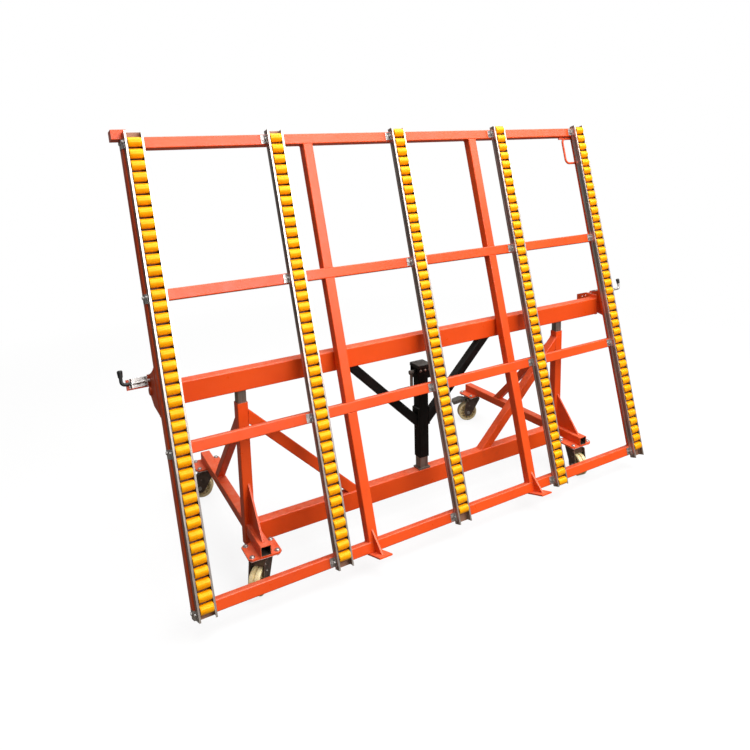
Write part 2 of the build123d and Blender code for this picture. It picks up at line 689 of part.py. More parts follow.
def lock_hole_spots():
    """Y and Z of the latch holes in the end plates: table at rest, half way and flat."""
    rest_y = LATCH_UP * sin(LEAN) - LATCH_FRONT * cos(LEAN)
    rest_z = LATCH_UP * cos(LEAN) + LATCH_FRONT * sin(LEAN)
    spots = []
    for tilt in (0, FLAT_TILT / 2, FLAT_TILT):
        turn = radians(tilt)
        spots.append((PIVOT_Y + rest_y * cos(turn) + rest_z * sin(turn),
                      PIVOT_Z - rest_y * sin(turn) + rest_z * cos(turn)))
    return spots


def hinge_plates():
    front_y, back_y = -BEAM_WIDTH / 2, PIVOT_Y + HINGE_PLATE_BEHIND_PIVOT
    top_z = BEAM_TOP_Z + HINGE_PLATE_ABOVE_BEAM
    chin_behind, chin_below = HINGE_PLATE_CHIN
    face = polygon((front_y, BEAM_BOTTOM_Z), (front_y, top_z),
                   (PIVOT_Y + HINGE_PLATE_TOP_BEHIND_PIVOT, top_z),
                   (back_y, BEAM_TOP_Z - HINGE_PLATE_SHOULDER_DROP), (back_y, PIVOT_Z - chin_below),
                   (PIVOT_Y + chin_behind, BEAM_BOTTOM_Z))
    plate = plate_across_x(BEAM_HALF, HINGE_PLATE_OUT, face)
    plate -= rod((0, PIVOT_Y, PIVOT_Z), (HALF_TABLE, PIVOT_Y, PIVOT_Z), PIVOT_PIN_R + RUNNING_GAP)
    for y, z in lock_hole_spots():
        plate -= rod((0, y, z), (HALF_TABLE, y, z), LATCH_PIN_R + LOOSE_GAP)
    return both_sides(plate)


def pivot_pins():
    head_x = HALF_TABLE + LOOSE_GAP
    pin = rod((BEAM_HALF, PIVOT_Y, PIVOT_Z), (head_x, PIVOT_Y, PIVOT_Z), PIVOT_PIN_R)
    head = rod((head_x, PIVOT_Y, PIVOT_Z), (head_x + PIVOT_HEAD_THICK, PIVOT_Y, PIVOT_Z), PIVOT_HEAD_R)
    head = fillet(head.faces().sort_by(Axis.X)[-1].edges(), PIVOT_HEAD_THICK / 2)
    return both_sides(pin + head)


# Table frame

def side_bars():
    """Side bars; the left one takes the straps."""
    x = HALF_TABLE - TABLE_TUBE / 2
    bar = tube((x, up_table(0), TUBE_MIDDLE), (x, up_table(TABLE_HEIGHT), TUBE_MIDDLE), TABLE_TUBE,
               TABLE_TUBE, TUBE_WALL, (1, 0, 0))
    bars = both_sides(bar)
    for rise in CROSS_BAR_RISES:
        bars[-1] -= rod(*strap_bolt_lines(up_table(rise))[0], TRACK_BOLT_R + HOLE_GAP)
    return bars


def cross_bars():
    half = HALF_TABLE - TABLE_TUBE
    bars = []
    for rise in CROSS_BAR_RISES:
        up = up_table(rise)
        bar = tube((-half, up, TUBE_MIDDLE), (half, up, TUBE_MIDDLE), TABLE_TUBE, TABLE_TUBE,
                   TUBE_WALL, (0, 1, 0))
        for wall_x in left_walls()[1:]:
            bar -= rod(*angle_bolt_lines(wall_x, up)[0], TRACK_BOLT_R + HOLE_GAP)
        bars.append(bar)
    return bars


def uprights():
    bars = []
    for low, high in zip(CROSS_BAR_RISES, CROSS_BAR_RISES[1:]):
        start = up_table(low + TABLE_TUBE / 2)
        end = up_table(high - TABLE_TUBE / 2)
        bar = tube((UPRIGHT_X, start, TUBE_MIDDLE), (UPRIGHT_X, end, TUBE_MIDDLE), TABLE_TUBE,
                   TABLE_TUBE, TUBE_WALL, (1, 0, 0))
        bars += both_sides(bar)
    return bars


def table_ear(top_up, hollow, nose):
    """Plate behind the right side bar that carries the table's pivot and takes the latch pin."""
    top, heel = (top_up, TUBE_BACK), (EAR_HEEL_UP, TUBE_BACK)
    back_edge = Polyline(nose, *EAR_BACK, heel, top)
    face = make_face([ThreePointArc(top, hollow, nose)] + back_edge.edges())
    ear = plate_across_x(EAR_IN, HALF_TABLE, face)
    ear -= rod((0, 0, 0), (TABLE_WIDTH, 0, 0), BUSH_R + RUNNING_GAP)
    ear -= rod((0, LATCH_UP, LATCH_FRONT), (TABLE_WIDTH, LATCH_UP, LATCH_FRONT), LATCH_PIN_R + LOOSE_GAP)
    return ear


def table_ears():
    """The right ear, and the left one, which rises higher behind its bar."""
    right = table_ear(RIGHT_EAR_TOP_UP, RIGHT_EAR_HOLLOW, RIGHT_EAR_NOSE)
    left = table_ear(LEFT_EAR_TOP_UP, LEFT_EAR_HOLLOW, LEFT_EAR_NOSE)
    return [right, mirror(left, about=Plane.YZ)]


def pivot_bushes():
    bush = rod((HINGE_PLATE_OUT + BUSH_GAP, 0, 0), (EAR_IN, 0, 0), BUSH_FLANGE_R)
    bush += rod((EAR_IN, 0, 0), (HALF_TABLE, 0, 0), BUSH_R)
    bush -= rod((0, 0, 0), (TABLE_WIDTH, 0, 0), PIVOT_PIN_R + RUNNING_GAP)
    return both_sides(bush)


def slab_feet():
    """Foot plates under the bottom bar, each with a gusset, that a slab's lower edge stands on."""
    low = up_table(0)
    half, gusset_half = SLAB_FOOT_WIDTH / 2, GUSSET_THICK / 2
    plate = box_between((UPRIGHT_X - half, low - SLAB_FOOT_THICK, TUBE_FRONT - SLAB_FOOT_UNDERLAP),
                        (UPRIGHT_X + half, low, TUBE_FRONT + SLAB_FOOT_REACH))
    triangle = polygon((low, TUBE_FRONT), (low + SLAB_GUSSET_HEIGHT, TUBE_FRONT),
                       (low, TUBE_FRONT + SLAB_GUSSET_REACH))
    gusset = plate_across_x(UPRIGHT_X - gusset_half, UPRIGHT_X + gusset_half, triangle)
    return both_sides(plate + gusset)


def corner_stub():
    """Stub that stands out from the left side bar's top and laps over its end."""
    stub = box_between((-HALF_TABLE - STUB_LENGTH, up_table(STUB_LOW_RISE), TUBE_BACK),
                       (STUB_LAP - HALF_TABLE, up_table(STUB_HIGH_RISE), TUBE_FRONT))
    stub = fillet(stub.edges().filter_by(Axis.X), TUBE_WALL)
    bar_room = box_between((-HALF_TABLE, up_table(0), TUBE_BACK), (0, up_table(TABLE_HEIGHT), TUBE_FRONT))
    return [stub - bar_room]


def pull_handle():
    inner_x = HALF_TABLE - TABLE_TUBE
    out_x = inner_x - HANDLE_REACH
    low, high = up_table(HANDLE_LOW_RISE), up_table(HANDLE_HIGH_RISE)
    points = [(inner_x, high, TUBE_MIDDLE), (out_x, high, TUBE_MIDDLE),
              (out_x, low, TUBE_MIDDLE), (inner_x, low, TUBE_MIDDLE)]
    width, height, thick = HANDLE_TAB
    top = up_table(CROSS_BAR_RISES[-1] - TABLE_TUBE / 2)
    tab = box_between((HANDLE_TAB_X, top - height, TUBE_MIDDLE - thick / 2),
                      (HANDLE_TAB_X + width, top, TUBE_MIDDLE + thick / 2))
    return [bent_rod(points, HANDLE_BEND_R, HANDLE_BAR_R), tab]


# Roller tracks

def left_walls():
    """x of the left wall of each track, which the brackets and straps hold."""
    return [x - TRACK_WIDTH / 2 for x, *_ in TRACKS]


def roller_rises(top_rise, count):
    return [top_rise - ROLLER_PITCH * i for i in range(count)]


def axle_rods(radius, half_length):
    """One rod per roller across its track, by track."""
    tracks = []
    for x, _, top_rise, count in TRACKS:
        rods = []
        for rise in roller_rises(top_rise, count):
            spot = (up_table(rise), ROLLER_FRONT)
            rods.append(rod((x - half_length, *spot), (x + half_length, *spot), radius))
        tracks.append(rods)
    return tracks


def roller_channels():
    """Lipped channels, with a hole for every axle and for the bolts that hold them."""
    half, wall, lip, deep = TRACK_WIDTH / 2, TRACK_WALL, TRACK_LIP, TRACK_DEPTH
    right_side = [(half, 0), (half, deep), (half - lip, deep), (half - lip, deep - wall),
                  (half - wall, deep - wall), (half - wall, wall)]
    face = polygon(*right_side, *[(-x, z) for x, z in reversed(right_side)])
    channels = []
    holes = axle_rods(ROLLER_AXLE_R + HOLE_GAP, TRACK_WIDTH)
    for (x, low_rise, _, _), axle_holes in zip(TRACKS, holes):
        low = up_table(low_rise)
        section = Plane(origin=(x, low + TRACK_LENGTH, TUBE_FRONT), x_dir=(1, 0, 0), z_dir=(0, -1, 0)) * face
        channel = extrude(section, amount=TRACK_LENGTH)
        bolt_holes = []
        for rise in CROSS_BAR_RISES:
            spot = (up_table(rise), TUBE_FRONT + TRACK_BOLT_LIFT)
            bolt_holes.append(rod((x, *spot), (x - TRACK_WIDTH, *spot), TRACK_BOLT_R + HOLE_GAP))
        channels.append(channel - axle_holes - bolt_holes)
    return channels


def roller():
    """Moulded roller lying along X, with eased edges and a bore."""
    half = ROLLER_WIDTH / 2
    right_side = [(half - ROLLER_EDGE, ROLLER_R), (half, ROLLER_R - ROLLER_EDGE),
                  (half, ROLLER_AXLE_R + RUNNING_GAP)]
    face = polygon(*right_side, *[(-x, r) for x, r in reversed(right_side)])
    return revolve(face, Axis.X)


def rollers_by_track():
    """All rollers in place on the table, one list per track."""
    shape = roller()
    return [[Pos(x, up_table(rise), ROLLER_FRONT) * shape for rise in roller_rises(top_rise, count)]
            for x, _, top_rise, count in TRACKS]


def bracket(wall_x, up, outline, bolt_lines):
    """Bent plate outside a track's left wall, from its middle and its outline outwards and to the front."""
    start = (wall_x, up - ANGLE_LENGTH / 2, TUBE_FRONT)
    section = Plane(origin=start, x_dir=(-1, 0, 0), z_dir=(0, 1, 0)) * outline
    plate = extrude(section, amount=ANGLE_LENGTH)
    for head, tip in bolt_lines:
        plate -= rod(head, tip, TRACK_BOLT_R + HOLE_GAP)
    return plate


def track_angles():
    """Angle brackets from the cross bars to the tracks, and straps from the left side bar to its track."""
    thick, step = ANGLE_THICK, strap_step()
    angle = polygon((0, 0), (ANGLE_LEG, 0), (ANGLE_LEG, thick), (thick, thick), (thick, ANGLE_RISE),
                    (0, ANGLE_RISE))
    near, far = STRAP_TRACK_LEG
    low, high = STRAP_BAR_LEG
    miter = thick * tan(radians(45 / 2))
    strap = polygon((0, far), (thick, far), (thick, near), (step + thick, high), (step + thick, low),
                    (step, low), (step, high - miter), (0, near - miter))
    edge_wall, *inner_walls = left_walls()
    brackets = []
    for rise in CROSS_BAR_RISES:
        up = up_table(rise)
        brackets.append(bracket(edge_wall, up - STRAP_DROP, strap, strap_bolt_lines(up)))
        brackets += [bracket(wall_x, up, angle, angle_bolt_lines(wall_x, up)) for wall_x in inner_walls]
    return brackets


def strap_step():
    """How far the left side bar's outer face stands out from its track's wall."""
    return left_walls()[0] + HALF_TABLE


def track_bolt_line(wall_x, up):
    """Head and tip of the bolt through a bracket into its track."""
    spot = (up, TUBE_FRONT + TRACK_BOLT_LIFT)
    head_x = wall_x - ANGLE_THICK
    return (head_x, *spot), (head_x + TRACK_BOLT_IN_TRACK, *spot)


def angle_bolt_lines(wall_x, up):
    """Head and tip of the two bolts of one angle bracket: into the bar and into the track."""
    bar_x = wall_x - ANGLE_LEG / 2
    leg_front = TUBE_FRONT + ANGLE_THICK
    bar_line = ((bar_x, up, leg_front), (bar_x, up, leg_front - TRACK_BOLT_IN_BAR))
    return bar_line, track_bolt_line(wall_x, up)


def strap_bolt_lines(up):
    """Head and tip of the two bolts of one strap: into the left side bar and into its track."""
    spot = (up, TUBE_FRONT + sum(STRAP_BAR_LEG) / 2)
    head_x = -HALF_TABLE - ANGLE_THICK
    bar_line = ((head_x, *spot), (head_x + TRACK_BOLT_IN_BAR, *spot))
    return bar_line, track_bolt_line(left_walls()[0], up)


def track_bolts():
    bolts = []
    for rise in CROSS_BAR_RISES:
        up = up_table(rise)
        lines = list(strap_bolt_lines(up))
        for wall_x in left_walls()[1:]:
            lines += angle_bolt_lines(wall_x, up)
        for head, tip in lines:
            outward = (Vector(*head) - Vector(*tip)).normalized()
            top = tuple(Vector(*head) + outward * TRACK_BOLT_HEAD)
            bolts.append(rod(tip, head, TRACK_BOLT_R) + hex_bar(head, top, TRACK_BOLT_HEX_R))
    return bolts


# Latches, drawn for the right-hand side

def handles(draw):
    """A piece of the right latch's pin, which reaches further out, and its mirror image on the left."""
    return [draw(RIGHT_HANDLE_OUT), mirror(draw(0), about=Plane.YZ)]


def latch_bracket():
    front = LATCH_FRONT - LATCH_PIN_R - LATCH_BASE_GAP - LATCH_BASE_THICK
    low, high = LATCH_BRACKET_UP
    plate = box_between((HALF_TABLE, low, front - LATCH_BRACKET_THICK),
                        (HALF_TABLE + LATCH_BRACKET_REACH, high, front))
    return plate


def latch_body():
    """Latch base with two lugs that guide the pin."""
    base_front = LATCH_FRONT - LATCH_PIN_R - LATCH_BASE_GAP
    base_back = base_front - LATCH_BASE_THICK
    inner_x, outer_x = LATCH_LUG_X[0] - LATCH_BASE_MARGIN, LATCH_LUG_X[1] + LATCH_BASE_MARGIN
    body = box_between((inner_x, LATCH_UP - LATCH_BASE_HALF, base_back),
                       (outer_x, LATCH_UP + LATCH_BASE_HALF, base_front))
    for lug_x in LATCH_LUG_X:
        half = LATCH_LUG_THICK / 2
        body += box_between((lug_x - half, LATCH_UP - LATCH_LUG_HALF, base_front),
                            (lug_x + half, LATCH_UP + LATCH_LUG_HALF, LATCH_LUG_FRONT))
    body -= rod((HALF_TABLE, LATCH_UP, LATCH_FRONT), (LATCH_BEND_X, LATCH_UP, LATCH_FRONT),
                LATCH_PIN_R + RUNNING_GAP)
    return body


def latch_rod(out):
    bend_x = LATCH_BEND_X + out
    points = [(LATCH_TIP_X, LATCH_UP, LATCH_FRONT), (bend_x, LATCH_UP, LATCH_FRONT),
              (bend_x, LATCH_HANDLE_UP, LATCH_FRONT)]
    collar_x = LATCH_LUG_X[0] + LATCH_LUG_THICK / 2 + LATCH_COLLAR_GAP + LATCH_TRAVEL
    collar = rod((collar_x, LATCH_UP, LATCH_FRONT), (collar_x + LATCH_COLLAR_LONG, LATCH_UP, LATCH_FRONT),
                 LATCH_COLLAR_R)
    return bent_rod(points, LATCH_BEND_R, LATCH_PIN_R) + collar


def latch_grip(out):
    low, high = LATCH_GRIP_UP
    cone = Cone(*LATCH_GRIP_R, high - low, align=(Align.CENTER, Align.CENTER, Align.MIN))
    low_edge = cone.edges().filter_by(GeomType.CIRCLE).sort_by(Axis.Z)[0]
    cone = fillet(low_edge, LATCH_GRIP_LOW_ROUND)
    top_edge = cone.edges().filter_by(GeomType.CIRCLE).sort_by(Axis.Z)[-1]
    cone = fillet(top_edge, LATCH_GRIP_TOP_ROUND)
    grip = Pos(LATCH_BEND_X, low, LATCH_FRONT) * Rot(-90, 0, 0) * cone
    handle = rod((LATCH_BEND_X, 0, LATCH_FRONT), (LATCH_BEND_X, LATCH_HANDLE_UP, LATCH_FRONT),
                 LATCH_PIN_R + RUNNING_GAP)
    return Pos(out, 0, 0) * (grip - handle)


def save_stand():
    save("base_rail", base_rail())
    save("post_sleeves", post_sleeves())
    save("foot_beams", foot_beams())
    save("front_gussets", front_gussets())
    save("stand_braces", stand_braces())


def save_casters():
    pads, plates, bolts = [], [], []
    for name, spot, yaw in caster_places():
        turned = Pos(spot.position) * Rot(0, 0, yaw)
        pads.append(spot * caster_pad())
        plates.append(spot * caster_top_plate())
        bolts += [spot * pad_bolt(*place) for place in pad_bolt_spots()]
        has_brake = name.startswith("rear")
        save(f"{name}_fork", [turned * fork(has_brake)])
        save(f"{name}_axle", [turned * caster_axle()])
        save(f"{name}_wheel", [turned * wheel()])
        if has_brake:
            save(f"{name}_brake_pedal", [turned * brake_pedal()])
    save("caster_pads", pads)
    save("caster_top_plates", plates)
    save("caster_bolts", bolts)


def save_jack():
    save("jack_leg", jack_leg())
    save("jack_foot", jack_foot())
    save("jack_nut", jack_nut())
    save("jack_tube", jack_tube())
    save("jack_head", jack_head())
    save("jack_cap", jack_cap())
    save("jack_braces", jack_braces())
    save("lead_screw", lead_screw())
    save("crank_arm", crank_arm())
    save("crank_grip", crank_grip())


def save_beam():
    save("main_beam", main_beam())
    save("inner_posts", inner_posts())
    save("hinge_plates", hinge_plates())
    save("pivot_pins", pivot_pins())


def save_table():
    save("side_bars", on_table(side_bars()))
    save("cross_bars", on_table(cross_bars()))
    save("uprights", on_table(uprights()))
    save("table_ears", on_table(table_ears()))
    save("pivot_bushes", on_table(pivot_bushes()))
    save("slab_feet", on_table(slab_feet()))
    save("corner_stub", on_table(corner_stub()))
    save("pull_handle", on_table(pull_handle()))
    save("latch_brackets", on_table(both_sides(latch_bracket())))
    save("latch_bodies", on_table(both_sides(latch_body())))
    for side, shape in zip(("right", "left"), handles(latch_rod)):
        save(f"{side}_latch_rod", on_table([shape]))
    for side, shape in zip(("right", "left"), handles(latch_grip)):
        save(f"{side}_latch_grip", on_table([shape]))


def save_tracks():
    save("roller_channels", on_table(roller_channels()))
    axles = axle_rods(ROLLER_AXLE_R, TRACK_WIDTH / 2 + ROLLER_AXLE_END)
    save("roller_axles", on_table([axle for track in axles for axle in track]))
    fixed = []
    for number, track in enumerate(rollers_by_track(), start=1):
        save(f"spin_roller_{number}", on_table([track.pop(SPIN_ROLLER)]))
        fixed += track
    save("rollers", on_table(fixed))
    save("track_angles", on_table(track_angles()))
    save("track_bolts", on_table(track_bolts()))


os.makedirs("parts", exist_ok=True)
save_stand()
save_casters()
save_jack()
save_beam()
save_table()
save_tracks()
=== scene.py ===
"""Looks of a slab tilting trolley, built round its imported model: metres, +Z up, in the model's own frame."""
import json
import math

import bpy
import numpy as np
from mathutils import Matrix, Vector

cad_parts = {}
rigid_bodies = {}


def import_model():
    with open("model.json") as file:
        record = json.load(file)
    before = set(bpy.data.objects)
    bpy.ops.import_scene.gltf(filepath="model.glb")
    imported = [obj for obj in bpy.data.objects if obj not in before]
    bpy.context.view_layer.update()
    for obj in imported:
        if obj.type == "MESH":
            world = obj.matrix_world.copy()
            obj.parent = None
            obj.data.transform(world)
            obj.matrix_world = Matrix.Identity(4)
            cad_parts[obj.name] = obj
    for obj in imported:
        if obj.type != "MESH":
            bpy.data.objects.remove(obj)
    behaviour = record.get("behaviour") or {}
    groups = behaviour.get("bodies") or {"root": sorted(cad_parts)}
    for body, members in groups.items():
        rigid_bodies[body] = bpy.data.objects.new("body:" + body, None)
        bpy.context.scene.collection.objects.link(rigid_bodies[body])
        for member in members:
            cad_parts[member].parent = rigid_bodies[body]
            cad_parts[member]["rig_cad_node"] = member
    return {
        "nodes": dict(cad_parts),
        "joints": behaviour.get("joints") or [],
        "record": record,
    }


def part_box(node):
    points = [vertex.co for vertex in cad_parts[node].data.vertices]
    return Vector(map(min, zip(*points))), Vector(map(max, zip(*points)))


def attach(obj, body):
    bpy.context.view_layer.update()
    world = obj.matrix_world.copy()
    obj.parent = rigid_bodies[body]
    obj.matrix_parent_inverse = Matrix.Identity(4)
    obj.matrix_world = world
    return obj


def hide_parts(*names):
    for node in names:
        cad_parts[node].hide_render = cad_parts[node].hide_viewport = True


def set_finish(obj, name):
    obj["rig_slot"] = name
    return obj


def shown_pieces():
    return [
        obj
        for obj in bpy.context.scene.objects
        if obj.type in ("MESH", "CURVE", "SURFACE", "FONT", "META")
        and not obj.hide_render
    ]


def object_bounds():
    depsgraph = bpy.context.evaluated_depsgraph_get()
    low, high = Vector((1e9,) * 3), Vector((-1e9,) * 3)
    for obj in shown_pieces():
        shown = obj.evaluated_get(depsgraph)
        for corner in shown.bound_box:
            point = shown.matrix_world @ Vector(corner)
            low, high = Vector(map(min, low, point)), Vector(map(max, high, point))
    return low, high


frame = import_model()
cad_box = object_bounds()
NODES = frame["nodes"]
JOINTS = {joint["name"]: joint for joint in frame["joints"]}
CASTERS = ("front_left", "front_right", "rear_left", "rear_right")

# The table leans, and lies flat at the far end of its hinge's range
LEAN = math.radians(90 - JOINTS["tilt_hinge"]["range_deg"][1])
PIVOT = Vector(JOINTS["tilt_hinge"]["pos_m"])
X_AXIS, Y_AXIS, Z_AXIS = Vector((1, 0, 0)), Vector((0, 1, 0)), Vector((0, 0, 1))
TABLE_UP = Vector((0, math.sin(LEAN), math.cos(LEAN)))
TABLE_FRONT = Vector((0, -math.cos(LEAN), math.sin(LEAN)))
TABLE_AXES = (PIVOT, X_AXIS, TABLE_UP, TABLE_FRONT)
FRAME_AXES = (Vector((0, 0, 0)), X_AXIS, Y_AXIS, Z_AXIS)
BEAM_AXES = (Vector((PIVOT.x, 0, 0)), X_AXIS, Y_AXIS, Z_AXIS)
MM = 0.001


# Reading the model

def points_of(node, axes=FRAME_AXES):
    """A node's points as places along three axes from an origin."""
    mesh = NODES[node].data
    flat = np.empty(len(mesh.vertices) * 3, np.float32)
    mesh.vertices.foreach_get("co", flat)
    origin, *directions = axes
    return (flat.reshape(-1, 3) - np.array(origin)) @ np.array(directions).T


def place(axes, along):
    """The point in the frame at places along three axes."""
    origin, *directions = axes
    return origin + sum((d * a for d, a in zip(directions, along)), Vector((0, 0, 0)))


def runs(values, gap):
    """Lowest and highest value of each run that is parted from the next by more than a gap."""
    ordered = np.sort(values)
    cuts = np.nonzero(np.diff(ordered) > gap)[0]
    starts = [0, *(cuts + 1)]
    ends = [*cuts, len(ordered) - 1]
    return [(float(ordered[a]), float(ordered[b])) for a, b in zip(starts, ends)]


# Making meshes

def turned(profile, segments):
    """Points and faces of a closed profile of (along, radius) turned once round the Z axis."""
    ring = len(profile)
    points = []
    for step in range(segments):
        angle = 2 * math.pi * step / segments
        points += [(r * math.cos(angle), r * math.sin(angle), along) for along, r in profile]
    faces = []
    for step in range(segments):
        here, there = step * ring, (step + 1) % segments * ring
        for k in range(ring):
            n = (k + 1) % ring
            faces.append((here + k, there + k, there + n, here + n))
    return np.array(points), faces


def block(low, high):
    """Points and faces of a box between two corners."""
    points = [(x, y, z) for x in (low[0], high[0]) for y in (low[1], high[1]) for z in (low[2], high[2])]
    faces = [(0, 1, 3, 2), (4, 6, 7, 5), (0, 4, 5, 1), (2, 3, 7, 6), (0, 2, 6, 4), (1, 5, 7, 3)]
    return np.array(points), faces


def moved(shape, matrix):
    """A shape after a move."""
    points, faces = shape
    turn = np.array(matrix.to_3x3())
    return points @ turn.T + np.array(matrix.translation), faces


def joined(shapes):
    """Several shapes as one."""
    points, faces, count = [], [], 0
    for shape_points, shape_faces in shapes:
        points.append(shape_points)
        faces += [tuple(index + count for index in face) for face in shape_faces]
        count += len(shape_points)
    return np.concatenate(points), faces


def aimed(centre, axis):
    """Matrix that puts a shape made round the Z axis at a centre, along an axis."""
    return Matrix.Translation(centre) @ Vector(axis).to_track_quat("Z", "Y").to_matrix().to_4x4()


def piece(name, shape, body, slot, sharp=40, replaced=()):
    """A shown piece that rides on a body, takes a slot's finish and may stand for nodes."""
    points, faces = shape
    mesh = bpy.data.meshes.new(name)
    mesh.from_pydata(points.tolist(), [], faces)
    mesh.validate()
    mesh.polygons.foreach_set("use_smooth", [True] * len(mesh.polygons))
    mesh.set_sharp_from_angle(angle=math.radians(sharp))
    thing = bpy.data.objects.new(name, mesh)
    bpy.context.scene.collection.objects.link(thing)
    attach(thing, body)
    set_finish(thing, slot)
    if replaced:
        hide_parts(*replaced)
    return thing


# Materials

MOST_NOISE = (0.3, 0.7)
EDGE_SAMPLES = 4


class Finish:
    """A material's nodes, with short ways to add to them."""

    def __init__(self, name):
        self.material = bpy.data.materials.new(name)
        self.material.use_nodes = True
        self.nodes = self.material.node_tree.nodes
        self.links = self.material.node_tree.links
        self.shader = self.nodes["Principled BSDF"]
        self.spot = self.add("ShaderNodeTexCoord")

    def add(self, kind, **inputs):
        """A new node with some of its inputs set."""
        node = self.nodes.new(kind)
        for name, value in inputs.items():
            self.put(node, name.replace("_", " "), value)
        return node

    def put(self, node, name, value):
        """Sets an input, or links it where the value is another node's output."""
        if isinstance(value, bpy.types.NodeSocket):
            self.links.new(value, node.inputs[name])
        else:
            node.inputs[name].default_value = value

    def set(self, **inputs):
        """Sets inputs of the material's shader."""
        for name, value in inputs.items():
            self.put(self.shader, name.replace("_", " "), value)

    def stretched(self, turn, stretch):
        """Coordinates leant back about X and then stretched, for a grain that runs one way."""
        mapping = self.add("ShaderNodeMapping", Vector=self.spot.outputs["Object"])
        mapping.vector_type = "TEXTURE"
        mapping.inputs["Rotation"].default_value = (-turn, 0, 0)
        mapping.inputs["Scale"].default_value = [1 / share for share in stretch]
        return mapping.outputs["Vector"]

    def depth(self):
        """How far a place is in front of the table's pivot, square to the table."""
        dot = self.add("ShaderNodeVectorMath")
        dot.operation = "DOT_PRODUCT"
        self.put(dot, 0, self.spot.outputs["Object"])
        dot.inputs[1].default_value = TABLE_FRONT
        less = self.add("ShaderNodeMath")
        less.operation = "SUBTRACT"
        self.put(less, 0, dot.outputs["Value"])
        less.inputs[1].default_value = TABLE_FRONT.dot(PIVOT)
        return less.outputs[0]

    def noise(self, scale, detail=4, rough=0.55, where=None):
        """Noise from 0 to 1, laid out in metres unless it is told where."""
        node = self.add("ShaderNodeTexNoise", Scale=scale, Detail=detail, Roughness=rough)
        self.put(node, "Vector", where or self.spot.outputs["Object"])
        return node.outputs["Fac"]

    def ramp(self, fac, *stops):
        """Colour by place between stops of (place, colour)."""
        node = self.add("ShaderNodeValToRGB", Fac=fac)
        marks = node.color_ramp.elements
        while len(marks) < len(stops):
            marks.new(0.5)
        for mark, (spot, colour) in zip(marks, stops):
            mark.position = spot
            mark.color = (*colour, 1)
        return node.outputs["Color"]

    def greys(self, fac, *stops):
        """Grey by place between stops of (place, grey)."""
        return self.ramp(fac, *((spot, (grey, grey, grey)) for spot, grey in stops))

    def mottled(self, noise, low, high):
        """One colour where a noise is low, another where it is high."""
        return self.ramp(noise, *zip(MOST_NOISE, (low, high)))

    def varied(self, noise, low, high):
        """A value between two marks, as a noise goes from low to high."""
        return self.span(noise, *MOST_NOISE, low, high)

    def span(self, value, low, high, to_low=0.0, to_high=1.0):
        """A value between two marks, spread between two others and held there."""
        node = self.add("ShaderNodeMapRange", Value=value)
        for name, mark in (("From Min", low), ("From Max", high), ("To Min", to_low), ("To Max", to_high)):
            node.inputs[name].default_value = mark
        return node.outputs["Result"]

    def times(self, a, b):
        """The product of two values."""
        node = self.add("ShaderNodeMath")
        node.operation = "MULTIPLY"
        self.put(node, 0, a)
        self.put(node, 1, b)
        return node.outputs[0]

    def blend(self, fac, a, b, how="MIX"):
        """Two colours mixed by a share."""
        node = self.add("ShaderNodeMixRGB", Fac=fac)
        node.blend_type = how
        for name, colour in (("Color1", a), ("Color2", b)):
            is_link = isinstance(colour, bpy.types.NodeSocket)
            self.put(node, name, colour if is_link else (*colour, 1))
        return node.outputs["Color"]

    def edges(self, width, low, high):
        """How near a sharp edge a place is, from 0 to 1."""
        rounded = self.add("ShaderNodeBevel", Radius=width)
        rounded.samples = EDGE_SAMPLES
        flat = self.add("ShaderNodeNewGeometry")
        dot = self.add("ShaderNodeVectorMath")
        dot.operation = "DOT_PRODUCT"
        self.put(dot, 0, rounded.outputs["Normal"])
        self.put(dot, 1, flat.outputs["Normal"])
        return self.span(dot.outputs["Value"], low, high, 1.0, 0.0)

    def upward(self, low, high):
        """How much a place faces up, from 0 to 1."""
        parts = self.add("ShaderNodeSeparateXYZ", Vector=self.spot.outputs["Normal"])
        return self.span(parts.outputs["Z"], low, high)

    def bump(self, height, strength, distance):
        """Raises the surface by a value."""
        node = self.add("ShaderNodeBump", Height=height)
        node.inputs["Strength"].default_value = strength
        node.inputs["Distance"].default_value = distance
        self.put(self.shader, "Normal", node.outputs["Normal"])


def orange_paint():
    """Glossy enamel sprayed on steel tube: slight orange peel, pale salmon on top faces that is partly dust
    and partly painted sheen, dark chips on the edges.
    """
    f = Finish("orange_paint")
    deep, fresh, grimy = (0.70, 0.062, 0.005), (0.80, 0.082, 0.008), (0.40, 0.042, 0.008)
    dusty, rubbed, bare = (0.80, 0.45, 0.33), (0.95, 0.36, 0.20), (0.055, 0.040, 0.034)
    colour = f.mottled(f.noise(scale=3.0, detail=5), deep, fresh)
    grime = f.span(f.noise(scale=11.0, detail=8, rough=0.7), low=0.56, high=0.78, to_high=0.40)
    colour = f.blend(grime, colour, grimy)
    specks = f.span(f.noise(scale=26.0, detail=6, rough=0.65), low=0.35, high=0.75, to_low=0.04, to_high=0.28)
    # Pale salmon specks on top faces: partly dust, partly painted sheen from the light above.
    colour = f.blend(f.times(f.upward(low=0.55, high=1.0), specks), colour, dusty)
    wear = f.span(f.noise(scale=60.0, detail=6, rough=0.7), low=0.42, high=0.60)
    rub = f.times(f.edges(width=3.5 * MM, low=0.86, high=0.985), wear)
    colour = f.blend(f.times(rub, 0.55), colour, rubbed)
    spots = f.span(f.noise(scale=95.0, detail=5, rough=0.75), low=0.62, high=0.66)
    chip = f.times(f.edges(width=2.5 * MM, low=0.80, high=0.96), spots)
    colour = f.blend(chip, colour, bare)
    f.set(Base_Color=colour, Specular_IOR_Level=0.36, Coat_Weight=0.08, Coat_Roughness=0.12)
    f.set(Roughness=f.varied(f.noise(scale=18.0, detail=6, rough=0.65), 0.26, 0.44))
    f.bump(f.noise(scale=420.0, detail=3, rough=0.5), strength=0.10, distance=0.6 * MM)
    return f.material


